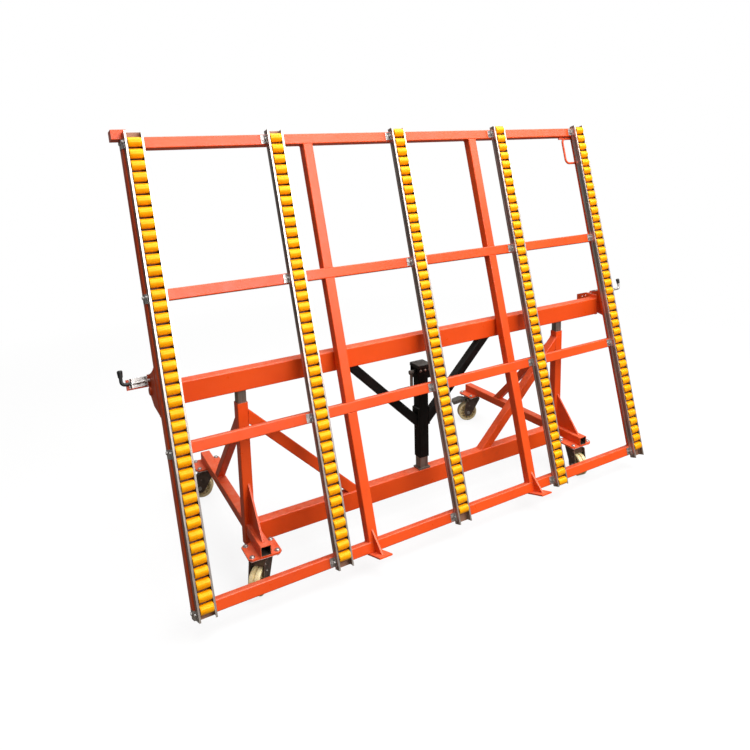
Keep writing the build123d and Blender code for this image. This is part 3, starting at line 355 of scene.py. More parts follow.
def zinc():
    """Zinc plate on small pieces: grey spangle, white bloom, brown stains and rubbed edges."""
    f = Finish("zinc")
    dark, middle, light = (0.34, 0.32, 0.31), (0.52, 0.50, 0.48), (0.74, 0.72, 0.70)
    chalky, rubbed, stained = (0.78, 0.76, 0.74), (0.95, 0.93, 0.90), (0.20, 0.15, 0.11)
    spangle = f.noise(scale=70.0, detail=6, rough=0.7)
    colour = f.ramp(spangle, (0.30, dark), (0.52, middle), (0.74, light))
    bloom = f.span(f.noise(scale=35.0, detail=6, rough=0.7), low=0.52, high=0.76, to_high=0.45)
    colour = f.blend(bloom, colour, chalky)
    colour = f.blend(f.times(f.edges(width=2 * MM, low=0.84, high=0.98), 0.6), colour, rubbed)
    stain = f.span(f.noise(scale=22.0, detail=7, rough=0.7), low=0.58, high=0.78, to_high=0.5)
    colour = f.blend(stain, colour, stained)
    f.set(Base_Color=colour, Metallic=0.85, Roughness=f.varied(spangle, 0.26, 0.46))
    f.bump(spangle, strength=0.15, distance=0.4 * MM)
    return f.material


TRACK_DEPTHS = points_of("roller_channels", TABLE_AXES)[:, 2]
TRACK_STREAK = (240, 240, 5)


def track_zinc():
    """Rolled zinc-plated channel: streaks and bands along its length, painted highlight lines on its walls, a
    floor darkened with painted shade and painted orange bounce, and lips greyed with painted shade.
    """
    f = Finish("track_zinc")
    dark, middle, light = (0.16, 0.14, 0.125), (0.42, 0.39, 0.36), (0.85, 0.82, 0.78)
    painted_highlight_tone, painted_lip_shade = (0.95, 0.92, 0.89), (0.58, 0.52, 0.47)
    # The first of these is the floor's red-brown: painted shade and painted orange bounce from the rollers,
    # not dust.
    dusty, rubbed = (0.32, 0.15, 0.09), (0.88, 0.84, 0.78)
    streak = f.noise(scale=1.0, detail=6, rough=0.7, where=f.stretched(LEAN, TRACK_STREAK))
    colour = f.ramp(streak, (0.28, dark), (0.50, middle), (0.72, light))
    across = f.span(f.depth(), float(TRACK_DEPTHS.min()), float(TRACK_DEPTHS.max()))
    band = f.greys(across, (0.0, 0.55), (0.30, 1.0), (0.55, 0.35), (0.85, 0.60), (0.97, 1.0))
    colour = f.blend(0.55, colour, band, "MULTIPLY")
    # Bright lines across the walls' depth: painted highlights.
    painted_highlight_lines = f.greys(across, (0.20, 0), (0.28, 0.8), (0.34, 0), (0.74, 0), (0.78, 0.5), (0.82, 0))
    colour = f.blend(painted_highlight_lines, colour, painted_highlight_tone)
    # Grey on the lips: painted shade on their sides.
    colour = f.blend(f.span(across, low=0.955, high=0.985, to_high=0.75), colour, painted_lip_shade)
    # Red-brown on the channel's floor between the rollers: painted shade and painted orange bounce.
    inside = f.span(across, low=0.02, high=0.05)
    floor = f.times(inside, f.span(across, low=0.07, high=0.10, to_low=0.9, to_high=0.0))
    colour = f.blend(floor, colour, dusty)
    colour = f.blend(f.times(f.edges(width=1.5 * MM, low=0.84, high=0.98), 0.6), colour, rubbed)
    f.set(Base_Color=colour, Metallic=f.span(floor, low=0.0, high=0.9, to_low=0.85, to_high=0.0))
    f.set(Specular_IOR_Level=f.span(floor, low=0.0, high=0.9, to_low=0.5, to_high=0.08))
    f.set(Roughness=f.varied(streak, 0.28, 0.46))
    f.bump(streak, strength=0.12, distance=0.4 * MM)
    return f.material


def painted_lit_zinc():
    """Zinc plate on the casters' top plates, made paler and less metallic than the other zinc: painted light.
    """
    f = Finish("painted_lit_zinc")
    dull, light = (0.66, 0.63, 0.60), (0.88, 0.86, 0.83)
    cloud = f.noise(scale=40.0, detail=6, rough=0.65)
    # Paler and less metallic than the zinc: painted light on the plates' edges.
    f.set(Base_Color=f.mottled(cloud, dull, light), Metallic=0.35, Roughness=f.varied(cloud, 0.30, 0.50))
    f.bump(cloud, strength=0.1, distance=0.4 * MM)
    return f.material


STEEL_STREAK = (160, 160, 5)


def bare_steel():
    """Oiled bare steel with upright streaks, a brown film and bright rubbed edges."""
    f = Finish("bare_steel")
    dark, light = (0.14, 0.125, 0.11), (0.36, 0.335, 0.30)
    brown, rubbed = (0.17, 0.125, 0.09), (0.62, 0.58, 0.52)
    streak = f.noise(scale=1.0, detail=5, rough=0.65, where=f.stretched(0, STEEL_STREAK))
    colour = f.mottled(streak, dark, light)
    film = f.span(f.noise(scale=14.0, detail=7, rough=0.7), low=0.48, high=0.72, to_high=0.6)
    colour = f.blend(film, colour, brown)
    colour = f.blend(f.times(f.edges(width=2 * MM, low=0.85, high=0.98), 0.6), colour, rubbed)
    f.set(Base_Color=colour, Metallic=0.8, Roughness=f.varied(streak, 0.28, 0.45))
    f.bump(streak, strength=0.12, distance=0.4 * MM)
    return f.material


def cap_black():
    """The jack's pressed cap: dusty satin black, greyer on top than the painted tube; the grey on top is
    partly dust and partly painted light.
    """
    f = Finish("cap_black")
    dark, light = (0.006, 0.0055, 0.005), (0.013, 0.012, 0.011)
    dusty, rubbed = (0.23, 0.22, 0.20), (0.10, 0.094, 0.085)
    cloud = f.noise(scale=24.0, detail=6, rough=0.65)
    specks = f.varied(f.noise(scale=45.0, detail=6, rough=0.7), 0.35, 0.75)
    # Greyer on top faces: partly dust, partly painted light falling on the top.
    colour = f.blend(f.times(f.upward(low=0.6, high=1.0), specks), f.mottled(cloud, dark, light), dusty)
    colour = f.blend(f.times(f.edges(width=2 * MM, low=0.84, high=0.98), 0.7), colour, rubbed)
    f.set(Base_Color=colour, Specular_IOR_Level=0.2, Roughness=f.varied(cloud, 0.36, 0.52))
    f.bump(f.noise(scale=650.0, detail=3, rough=0.5), strength=0.12, distance=0.5 * MM)
    return f.material


def black_paint():
    """Satin black paint on the jack, with fine grain, dust on top and grey scuffs on the edges."""
    f = Finish("black_paint")
    dark, light = (0.0028, 0.0025, 0.0024), (0.0075, 0.0068, 0.0062)
    dusty, scuffed = (0.15, 0.14, 0.13), (0.07, 0.064, 0.058)
    cloud = f.noise(scale=16.0, detail=6, rough=0.65)
    specks = f.varied(f.noise(scale=45.0, detail=6, rough=0.7), 0.15, 0.5)
    colour = f.blend(f.times(f.upward(low=0.6, high=1.0), specks), f.mottled(cloud, dark, light), dusty)
    wear = f.span(f.noise(scale=70.0, detail=6, rough=0.7), low=0.40, high=0.62, to_low=0.1, to_high=0.8)
    colour = f.blend(f.times(f.edges(width=2.5 * MM, low=0.84, high=0.98), wear), colour, scuffed)
    f.set(Base_Color=colour, Specular_IOR_Level=0.12, Roughness=f.varied(cloud, 0.38, 0.55))
    f.bump(f.noise(scale=650.0, detail=3, rough=0.5), strength=0.12, distance=0.5 * MM)
    return f.material


def roller_plastic():
    """Moulded yellow plastic, grimy in patches and paler on its rubbed edges."""
    f = Finish("roller_plastic")
    deep, fresh = (0.92, 0.33, 0.001), (0.98, 0.41, 0.002)
    grimy, rubbed = (0.62, 0.18, 0.002), (0.98, 0.60, 0.05)
    colour = f.mottled(f.noise(scale=21.0, detail=3, rough=0.5), deep, fresh)
    grime = f.span(f.noise(scale=90.0, detail=6, rough=0.7), low=0.55, high=0.78, to_high=0.40)
    colour = f.blend(grime, colour, grimy)
    colour = f.blend(f.times(f.edges(width=2 * MM, low=0.86, high=0.985), 0.35), colour, rubbed)
    f.set(Base_Color=colour, Subsurface_Weight=0.06, Subsurface_Radius=(9 * MM, 4 * MM, 0.5 * MM))
    f.set(Subsurface_Scale=0.6, Specular_IOR_Level=0.6, Specular_Tint=(1.0, 0.84, 0.18, 1))
    f.set(Roughness=f.varied(f.noise(scale=140.0, detail=5, rough=0.65), 0.20, 0.36))
    f.bump(f.noise(scale=300.0, detail=4, rough=0.6), strength=0.06, distance=0.5 * MM)
    return f.material


def wheel_polyurethane():
    """Cream polyurethane, dirty in patches."""
    f = Finish("wheel_polyurethane")
    deep, pale, dirty = (0.68, 0.54, 0.26), (0.84, 0.73, 0.44), (0.20, 0.15, 0.09)
    cloud = f.noise(scale=24.0, detail=5, rough=0.6)
    dirt = f.span(f.noise(scale=55.0, detail=8, rough=0.72), low=0.50, high=0.74, to_high=0.65)
    colour = f.blend(dirt, f.mottled(cloud, deep, pale), dirty)
    f.set(Base_Color=colour, Subsurface_Weight=0.08, Subsurface_Radius=(6 * MM, 4 * MM, 2 * MM))
    f.set(Subsurface_Scale=0.5, Roughness=f.varied(cloud, 0.35, 0.55))
    f.bump(f.noise(scale=260.0, detail=5, rough=0.6), strength=0.15, distance=0.8 * MM)
    return f.material


def caster_steel():
    """Dark plated pressed steel with rusty patches and tan edges that are partly rubbed wear and partly
    painted edge highlights.
    """
    f = Finish("caster_steel")
    dark, light = (0.085, 0.066, 0.056), (0.20, 0.155, 0.13)
    rusty, rubbed = (0.17, 0.09, 0.05), (0.60, 0.50, 0.40)
    cloud = f.noise(scale=28.0, detail=6, rough=0.65)
    rust = f.span(f.noise(scale=60.0, detail=7, rough=0.72), low=0.56, high=0.74, to_high=0.5)
    colour = f.blend(rust, f.mottled(cloud, dark, light), rusty)
    # Tan on the edges: partly rubbed wear, partly painted edge highlights.
    colour = f.blend(f.times(f.edges(width=3 * MM, low=0.84, high=0.98), 0.85), colour, rubbed)
    f.set(Base_Color=colour, Metallic=0.75, Roughness=f.varied(cloud, 0.30, 0.50))
    f.bump(cloud, strength=0.15, distance=0.6 * MM)
    return f.material


def black_grip():
    """Black rubber with a fine pebble and grey dust."""
    f = Finish("black_grip")
    dark, light, dusty = (0.006, 0.006, 0.006), (0.020, 0.019, 0.018), (0.16, 0.15, 0.14)
    cloud = f.noise(scale=60.0, detail=5, rough=0.6)
    colour = f.blend(f.times(f.upward(low=0.3, high=1.0), 0.25), f.mottled(cloud, dark, light), dusty)
    f.set(Base_Color=colour, Roughness=f.varied(cloud, 0.45, 0.65))
    f.bump(f.noise(scale=900.0, detail=3, rough=0.5), strength=0.2, distance=0.4 * MM)
    return f.material


def bush_bronze():
    """Plain bearing bronze, dulled."""
    f = Finish("bush_bronze")
    dull, bright = (0.28, 0.17, 0.06), (0.50, 0.33, 0.13)
    cloud = f.noise(scale=50.0, detail=6, rough=0.65)
    f.set(Base_Color=f.mottled(cloud, dull, bright), Metallic=0.9, Roughness=f.varied(cloud, 0.28, 0.45))
    f.bump(cloud, strength=0.1, distance=0.3 * MM)
    return f.material


FINISHES = {
    "orange_paint": orange_paint(),
    "zinc": zinc(),
    "black_paint": black_paint(),
    "bare_steel": bare_steel(),
    "roller_plastic": roller_plastic(),
    "wheel_polyurethane": wheel_polyurethane(),
    "caster_steel": caster_steel(),
    "black_grip": black_grip(),
    "bush_bronze": bush_bronze(),
}
NODE_FINISHES = {
    "roller_channels": track_zinc(),
    # The casters' top plates take a paler zinc copy with painted light.
    "caster_top_plates": painted_lit_zinc(),
    "jack_cap": cap_black(),
    "rear_left_brake_pedal": FINISHES["bare_steel"],
    "rear_right_brake_pedal": FINISHES["bare_steel"],
}


# Rollers

ROLLER_EDGE = 2.6 * MM
ROLLER_CROWN = 0.35 * MM
ROLLER_RIM = 3.6 * MM
ROLLER_RECESS = 3.5 * MM
ROLLER_HUB_R = 9.0 * MM
ROLLER_BORE_R = 4.3 * MM
ROLLER_DRAFT = 1.2 * MM
ROLLER_HUB_BACK = 0.6 * MM
ROLLER_STEPS = 36
ROLLER_EDGE_STEPS = 4
ROLLER_APART = 4 * MM
TRACK_APART = 300 * MM
TRACK_COUNT = 5
# The barrel keeps most of its crown's height this far along its half
CROWN_AT = 0.6
CROWN_LOST = 0.4


def roller(length, radius):
    """A roller round the Z axis: faintly crowned barrel, rounded edges, recessed ends and a hub."""
    half = length / 2
    rim = radius - ROLLER_RIM
    floor = half - ROLLER_RECESS
    hub_end = half - ROLLER_HUB_BACK
    outside = [(0, radius), (half * CROWN_AT, radius - ROLLER_CROWN * CROWN_LOST)]
    for step in range(ROLLER_EDGE_STEPS + 1):
        angle = math.pi / 2 * (1 - step / ROLLER_EDGE_STEPS)
        outside.append((half - ROLLER_EDGE * (1 - math.cos(angle)),
                        radius - ROLLER_CROWN - ROLLER_EDGE * (1 - math.sin(angle))))
    ends = [(half, rim), (floor, rim - ROLLER_DRAFT), (floor, ROLLER_HUB_R + ROLLER_DRAFT),
            (hub_end, ROLLER_HUB_R), (hub_end, ROLLER_BORE_R)]
    side = outside + ends
    other = [(-along, r) for along, r in reversed(side[1:])]
    return turned(side + other, ROLLER_STEPS)


def roller_spots():
    """Middle of every fixed roller, with the shared length and radius."""
    spread = points_of("rollers", TABLE_AXES)
    back, front = spread[:, 2].min(), spread[:, 2].max()
    radius = float(front - back) / 2
    columns = runs(spread[:, 0], TRACK_APART)
    length = columns[0][1] - columns[0][0]
    spots = []
    for left, right in columns:
        column = spread[(spread[:, 0] >= left) & (spread[:, 0] <= right)]
        for bottom, top in runs(column[:, 1], ROLLER_APART):
            spots.append(place(TABLE_AXES, ((left + right) / 2, (bottom + top) / 2, (back + front) / 2)))
    return spots, length, radius


def make_rollers():
    """The fixed rollers as one piece, and the roller of each track that turns as its own."""
    spots, length, radius = roller_spots()
    one = roller(length, radius)
    piece("roller_rows", joined([moved(one, aimed(spot, X_AXIS)) for spot in spots]), "table",
          "roller_plastic", replaced=["rollers"])
    for number in range(1, TRACK_COUNT + 1):
        low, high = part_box(f"spin_roller_{number}")
        piece(f"turning_roller_{number}", moved(one, aimed((low + high) / 2, X_AXIS)),
              f"spin_roller_{number}", "roller_plastic", replaced=[f"spin_roller_{number}"])


make_rollers()


# Caster wheels

# Shares of the wheel's radius, and of its half width for the web
WHEEL_RIM = 0.76
WHEEL_HUB = 0.25
WHEEL_SHOULDER = 0.09
WHEEL_TREAD = 0.8
WHEEL_WEB = 0.30
WHEEL_STEPS = 72
WHEEL_BORE_R = 6.2 * MM
GROOVE_HALF = 3.6 * MM
GROOVE_SLOPE = 0.8 * MM
GROOVE_DEEP = 7 * MM
SHOULDER_STEPS = 5
WEB_ROUND = 3 * MM
RIB_COUNT = 12
RIB_HALF = 1.6 * MM
RIB_INSET = 2.5 * MM


def caster_wheel(radius, half, hub_half):
    """A wheel round the Z axis: grooved tread, rounded shoulders, deep web with ribs, and a hub."""
    rim_in = radius * WHEEL_RIM
    web = half * WHEEL_WEB
    hub = radius * WHEEL_HUB
    shoulder = radius * WHEEL_SHOULDER
    ease = WEB_ROUND / 2
    side = [(GROOVE_HALF, radius - GROOVE_DEEP), (GROOVE_HALF + GROOVE_SLOPE, radius)]
    for step in range(SHOULDER_STEPS + 1):
        angle = math.pi / 2 * (1 - step / SHOULDER_STEPS)
        side.append((half - shoulder * (1 - math.cos(angle)), radius - shoulder * (1 - math.sin(angle))))
    side += [(half, rim_in + WEB_ROUND), (half - ease, rim_in), (web, rim_in - WEB_ROUND),
             (web, hub + WEB_ROUND), (half - ease, hub), (hub_half, hub - ease), (hub_half, WHEEL_BORE_R)]
    other = [(-along, r) for along, r in reversed(side)]
    shapes = [turned(side + other, WHEEL_STEPS)]
    rib_half = half - RIB_INSET
    rib = block((hub - ease, -RIB_HALF, -rib_half), (rim_in, RIB_HALF, rib_half))
    for number in range(RIB_COUNT):
        shapes.append(moved(rib, Matrix.Rotation(2 * math.pi * number / RIB_COUNT, 4, "Z")))
    return joined(shapes)


def make_wheels():
    """Fuller wheels in place of the model's, on the same axles and as large."""
    for caster in CASTERS:
        joint = JOINTS[f"{caster}_wheel_spin"]
        axis = Vector(joint["axis"]).normalized()
        centre = Vector(joint["pos_m"])
        spread = points_of(f"{caster}_wheel") - np.array(centre)
        along = spread @ np.array(axis)
        from_axle = np.linalg.norm(spread - np.outer(along, np.array(axis)), axis=1)
        radius = float(from_axle.max())
        half = float(along[from_axle > radius * WHEEL_TREAD].max())
        shape = caster_wheel(radius, half, float(along.max()))
        piece(f"{caster}_grooved_wheel", moved(shape, aimed(centre, axis)), f"{caster}_wheel",
              "wheel_polyurethane", replaced=[f"{caster}_wheel"])


make_wheels()


# Places on the stand and the table that the small pieces are set from

POST_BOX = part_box("post_sleeves")
POST_HALF = (POST_BOX[1].y - POST_BOX[0].y) / 2
POST_MIDDLE_Y = (POST_BOX[1].y + POST_BOX[0].y) / 2
POST_X = POST_BOX[1].x - POST_HALF - PIVOT.x
POST_INNER_X = POST_X - POST_HALF
RAIL_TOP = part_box("base_rail")[1].z
FOOT_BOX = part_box("foot_beams")
BEAM_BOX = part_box("main_beam")
BAR_POINTS = points_of("side_bars", TABLE_AXES)
TUBE_BACK, TUBE_FRONT = float(BAR_POINTS[:, 2].min()), float(BAR_POINTS[:, 2].max())
HALF_TABLE = float(BAR_POINTS[:, 0].max())
SIDES = {"left": -1, "right": 1}


def post_axes(side):
    """Axes at the foot of a post."""
    return (Vector((PIVOT.x + SIDES[side] * POST_X, POST_MIDDLE_Y, 0)), X_AXIS, Y_AXIS, Z_AXIS)


def foot_axes(side):
    """Axes at the foot of a post, turned with its foot: across it, along it and up."""
    front = Vector(JOINTS[f"front_{side}_swivel_turn"]["pos_m"])
    rear = Vector(JOINTS[f"rear_{side}_swivel_turn"]["pos_m"])
    along = (rear - front).normalized()
    on_foot = front + along * (POST_MIDDLE_Y - front.y) / along.y
    return (Vector((on_foot.x, on_foot.y, 0)), along.cross(Z_AXIS), along, Z_AXIS)


# Weld beads

BEAD_R = 2.8 * MM
BEAD_RIPPLE = 4.6 * MM
BEAD_SIDES = 6
BEAD_WAIST = 0.80
BEAD_TIP = 0.40
BEAD_WOBBLE = 0.10
# Radians of wobble for each step, and for each metre of the bead's length
WOBBLE_BY_STEP = 1.9
WOBBLE_BY_LENGTH = 40
PAD_WELD = 52 * MM
PLANE_GAP = 0.4 * MM
END_APART = 130 * MM
WELD_SHARP = 70


def tube_faces(rings, sides):
    """Faces of a closed tube made of rings of points, one after the other."""
    faces = [tuple(reversed(range(sides)))]
    for ring in range(rings - 1):
        for side in range(sides):
            n = (side + 1) % sides
            here, there = ring * sides, (ring + 1) * sides
            faces.append((here + side, here + n, there + n, there + side))
    faces.append(tuple((rings - 1) * sides + side for side in range(sides)))
    return faces


def bead(start, end):
    """A rippled weld bead along the line between two points, tapered at its ends."""
    length = (end - start).length
    steps = 2 * max(2, round(length / BEAD_RIPPLE))
    points = []
    for step in range(steps + 1):
        swell = 1.0 if step % 2 else BEAD_WAIST
        swell *= 1 + BEAD_WOBBLE * math.sin(WOBBLE_BY_STEP * step + WOBBLE_BY_LENGTH * length)
        if step in (0, steps):
            swell = BEAD_TIP
        reach = BEAD_R * swell
        for side in range(BEAD_SIDES):
            angle = 2 * math.pi * side / BEAD_SIDES
            points.append((reach * math.cos(angle), reach * math.sin(angle), length * step / steps))
    return moved((np.array(points), tube_faces(steps + 1, BEAD_SIDES)), aimed(start, end - start))


def end_edges(node, axes, plane, at, within=None, clip=None, skip=()):
    """Edges of every flat end of a node that lies in one plane.

    within gives, by axis, the spans that the end's points are in, clip the spans that its edges are kept to,
    and skip the edges that are left out: 0 the low edge of the second axis, then round the end.
    """
    spread = points_of(node, axes)
    chosen = np.abs(spread[:, plane] - at) < PLANE_GAP
    for axis, (low, high) in (within or {}).items():
        chosen &= (spread[:, axis] > low) & (spread[:, axis] < high)
    spread = spread[chosen]
    first, second = [axis for axis in range(3) if axis != plane]
    edges = []
    for start, end in runs(spread[:, first], END_APART):
        part = spread[(spread[:, first] >= start) & (spread[:, first] <= end)]
        spans = {axis: [part[:, axis].min(), part[:, axis].max()] for axis in (first, second)}
        for axis, (low, high) in (clip or {}).items():
            spans[axis] = [max(spans[axis][0], low), min(spans[axis][1], high)]
        corners = []
        for a, b in ((0, 0), (1, 0), (1, 1), (0, 1)):
            along = [at, at, at]
            along[first], along[second] = float(spans[first][a]), float(spans[second][b])
            corners.append(place(axes, along))
        around = list(zip(corners, corners[1:] + corners[:1]))
        edges += [edge for number, edge in enumerate(around) if number not in skip]
    return edges


def stand_seams():
    """Where the stand's tubes, gussets and pads are welded."""
    seams = []
    foot_top, foot_bottom = FOOT_BOX[1].z, FOOT_BOX[0].z
    beside_post = {0: (-2 * POST_HALF, 2 * POST_HALF)}
    for side, sign in SIDES.items():
        posts, feet = post_axes(side), foot_axes(side)
        face_x = sign * POST_INNER_X
        seams += end_edges("base_rail", BEAM_AXES, 0, face_x, clip={1: (POST_BOX[0].y, POST_BOX[1].y)})
        seams += end_edges("stand_braces", BEAM_AXES, 0, face_x, within={2: (2 * RAIL_TOP, POST_BOX[1].z)})
        on_rail = sorted((0, face_x))
        seams += end_edges("stand_braces", BEAM_AXES, 2, RAIL_TOP, within={0: on_rail})
        for face_y in (-POST_HALF, POST_HALF):
            seams += end_edges("foot_beams", posts, 1, face_y, within=beside_post)
        seams += end_edges("front_gussets", posts, 1, -POST_HALF, within=beside_post)
        seams += end_edges("front_gussets", feet, 2, foot_top, within=beside_post)
        above_foot = {**beside_post, 2: (2 * foot_top, POST_BOX[1].z)}
        seams += end_edges("stand_braces", posts, 1, POST_HALF, within=above_foot)
        behind_post = {**beside_post, 1: (2 * POST_HALF, FOOT_BOX[1].y * 2)}
        seams += end_edges("stand_braces", feet, 2, foot_top, within=behind_post)
        for end in ("front", "rear"):
            spot = Vector(JOINTS[f"{end}_{side}_swivel_turn"]["pos_m"]) - feet[0]
            along = spot.dot(feet[2])
            ends = (along - PAD_WELD, along + PAD_WELD)
            for edge_x in (-POST_HALF, POST_HALF):
                seams.append([place(feet, (edge_x, end_y, foot_bottom)) for end_y in ends])
    return seams


def table_seams():
    """Where the table's bars, ears, slab feet and small fittings are welded."""
    seams = []
    inner_x = points_of("cross_bars", TABLE_AXES)[:, 0].max()
    for sign in SIDES.values():
        seams += end_edges("cross_bars", TABLE_AXES, 0, sign * inner_x, skip=[2])
        seams += end_edges("latch_brackets", TABLE_AXES, 0, sign * HALF_TABLE)
    for low, high in runs(points_of("uprights", TABLE_AXES)[:, 1], PLANE_GAP):
        seams += end_edges("uprights", TABLE_AXES, 1, (low + high) / 2, skip=[2])
    seams += end_edges("table_ears", TABLE_AXES, 2, TUBE_BACK)
    seams += end_edges("slab_feet", TABLE_AXES, 2, TUBE_FRONT)
    seams += end_edges("corner_stub", TABLE_AXES, 0, -HALF_TABLE)
    return seams


def lift_seams():
    """Where the beam's end plates and posts are welded to it."""
    seams = []
    for sign in SIDES.values():
        seams += end_edges("main_beam", BEAM_AXES, 0, sign * (BEAM_BOX[1].x - PIVOT.x))
    seams += end_edges("inner_posts", BEAM_AXES, 2, BEAM_BOX[0].z)
    return seams


def jack_seams():
    """Where the jack's braces are welded to its tube and to the beam."""
    seams = end_edges("jack_braces", BEAM_AXES, 2, BEAM_BOX[0].z)
    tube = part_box("jack_tube")
    for face_x in (tube[0].x, tube[1].x):
        seams += end_edges("jack_braces", FRAME_AXES, 0, face_x)
    return seams


def make_welds():
    """One piece of beads for each body that has seams."""
    for name, body, slot, seams in (
        ("stand_welds", "stand", "orange_paint", stand_seams()),
        ("table_welds", "table", "orange_paint", table_seams()),
        ("lift_welds", "lift", "orange_paint", lift_seams()),
        ("jack_welds", "lift", "black_paint", jack_seams()),
    ):
        piece(name, joined([bead(start, end) for start, end in seams]), body, slot, sharp=WELD_SHARP)


make_welds()


# Bolts and rivets

BORE_MARK = 0.4 * MM
WASHER_THICK = 1.4 * MM
# Shares of the bolt's radius
WASHER_REACH = 1.32
BOLT_EASE = 0.16
ROUND_STEPS = 24
HEX_SIDES = 6
RIVET_SIDES = 20
DOME_STEPS = 4


def hex_bolt(radius, height):
    """A hexagon bolt head with a chamfered top on a washer, standing on Z = 0."""
    ease = radius * BOLT_EASE
    rim = radius * WASHER_REACH
    low, top = WASHER_THICK, WASHER_THICK + height
    washer = [(0, BORE_MARK), (0, rim), (low, rim), (low, BORE_MARK)]
    head = [(low, BORE_MARK), (low, radius), (top - ease, radius), (top, radius - ease), (top, BORE_MARK)]
    return joined([turned(washer, ROUND_STEPS), turned(head, HEX_SIDES)])


def rivet(radius, height):
    """A low domed rivet head, standing on Z = 0."""
    profile = [(0, BORE_MARK), (0, radius)]
    for step in range(1, DOME_STEPS + 1):
        angle = math.pi / 2 * step / DOME_STEPS
        profile.append((height * math.sin(angle), max(radius * math.cos(angle), BORE_MARK)))
    return turned(profile, RIVET_SIDES)


JACK_BOLT_R = 5.6 * MM
JACK_BOLT_HIGH = 5 * MM
JACK_BOLT_APART = 27 * MM
JACK_BOLT_BELOW_CAP = 13 * MM


def make_jack_bolts():
    """Three bolts on the front and three on the back of the jack's head."""
    head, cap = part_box("jack_head"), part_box("jack_cap")
    one = hex_bolt(JACK_BOLT_R, JACK_BOLT_HIGH)
    bolts = []
    for face_y, out in ((head[0].y, -Y_AXIS), (head[1].y, Y_AXIS)):
        for step in (-1, 0, 1):
            spot = Vector((PIVOT.x + step * JACK_BOLT_APART, face_y, cap[0].z - JACK_BOLT_BELOW_CAP))
            bolts.append(moved(one, aimed(spot, out)))
    piece("jack_head_bolts", joined(bolts), "lift", "bare_steel")


FORK_RIVET_R = 5.5 * MM
FORK_RIVET_HIGH = 3.5 * MM
# Each rivet's place along the fork and above the axle
FORK_RIVETS = ((3 * MM, 85 * MM), (-8 * MM, 48 * MM))


def make_fork_rivets():
    """Rivets on both side plates of every fork, set from the wheel's axle."""
    one = rivet(FORK_RIVET_R, FORK_RIVET_HIGH)
    for caster in CASTERS:
        axis = Vector(JOINTS[f"{caster}_wheel_spin"]["axis"]).normalized()
        centre = Vector(JOINTS[f"{caster}_wheel_spin"]["pos_m"])
        trail = axis.cross(Z_AXIS)
        outer = float((points_of(f"{caster}_fork") @ np.array(axis)).max() - centre.dot(axis))
        heads = []
        for out in (-1, 1):
            for ahead, above in FORK_RIVETS:
                spot = centre + axis * out * outer + trail * ahead + Z_AXIS * above
                heads.append(moved(one, aimed(spot, axis * out)))
        piece(f"{caster}_fork_rivets", joined(heads), f"{caster}_swivel", "bare_steel")


make_jack_bolts()
make_fork_rivets()


# Dark sleeve on the bent handle of the left latch

LATCH_ROD_R = 7 * MM
LATCH_BEND_R = 16 * MM
LATCH_COAT = 0.4 * MM
LATCH_COAT_BEFORE = 22 * MM
LATCH_COAT_ABOVE = 17 * MM
BEND_STEPS = 10
COAT_SIDES = 20


def swept(path, across, radius, sides):
    """A closed round tube along a flat path; across is square to the path's plane."""
    points = []
    for number, spot in enumerate(path):
        ahead = path[min(number + 1, len(path) - 1)] - path[max(number - 1, 0)]
        out = ahead.normalized().cross(across)
        for side in range(sides):
            angle = 2 * math.pi * side / sides
            points.append(spot + (across * math.cos(angle) + out * math.sin(angle)) * radius)
    return np.array(points), tube_faces(len(path), sides)


def make_latch_sleeve():
    """A thin sleeve round the bend of the left handle; the right handle is bare plated rod."""
    spread = points_of("left_latch_rod", TABLE_AXES)
    bend_x = float(np.abs(spread[:, 0]).max()) - LATCH_ROD_R
    sleeve_x = bend_x - LATCH_BEND_R - LATCH_COAT_BEFORE
    bare = spread[np.abs(spread[:, 0]) > sleeve_x]
    rod_up = float(bare[:, 1].min()) + LATCH_ROD_R
    rod_front = float(spread[:, 2].min() + spread[:, 2].max()) / 2
    route = [(sleeve_x, rod_up)]
    for step in range(BEND_STEPS + 1):
        angle = math.pi / 2 * step / BEND_STEPS
        out, rise = LATCH_BEND_R * (1 - math.sin(angle)), LATCH_BEND_R * (1 - math.cos(angle))
        route.append((bend_x - out, rod_up + rise))
    route.append((bend_x, rod_up + LATCH_BEND_R + LATCH_COAT_ABOVE))
    path = [place(TABLE_AXES, (SIDES["left"] * x, up, rod_front)) for x, up in route]
    tube = swept(path, TABLE_FRONT, LATCH_ROD_R + LATCH_COAT, COAT_SIDES)
    piece("left_latch_sleeve", tube, "left_latch", "black_grip")


make_latch_sleeve()


# Dark linings in the foot tubes' open ends: painted shade

LINING_INSET = 3.6 * MM
LINING_HALF = POST_HALF - LINING_INSET
LINING_WALL = 0.8 * MM
LINING_DEEP = 150 * MM
LINING_START = 1.5 * MM
SQUARE_SIDES = 4


def make_foot_shade_linings():
    """Thin dark tubes just inside the open ends of the foot tubes: painted shade inside them."""
    corner, inside = LINING_HALF * math.sqrt(2), (LINING_HALF - LINING_WALL) * math.sqrt(2)
    square = turned([(0, inside), (0, corner), (LINING_DEEP, corner), (LINING_DEEP, inside)], SQUARE_SIDES)
    square = moved(square, Matrix.Rotation(math.pi / SQUARE_SIDES, 4, "Z"))
    middle_z = FOOT_BOX[1].z - POST_HALF
    linings = []
    for side in SIDES:
        feet = foot_axes(side)
        spread = points_of("foot_beams", feet)
        spread = spread[np.abs(spread[:, 0]) < POST_X]
        for end, inward in ((spread[:, 1].min(), 1), (spread[:, 1].max(), -1)):
            mouth = place(feet, (0, float(end) + inward * LINING_START, middle_z))
            turn = Matrix((feet[1], Z_AXIS * inward, feet[2] * inward)).transposed().to_4x4()
            linings.append(moved(square, Matrix.Translation(mouth) @ turn))
    piece("foot_tube_shade_linings", joined(linings), "stand", "caster_steel")


make_foot_shade_linings()


# Finishes on every piece

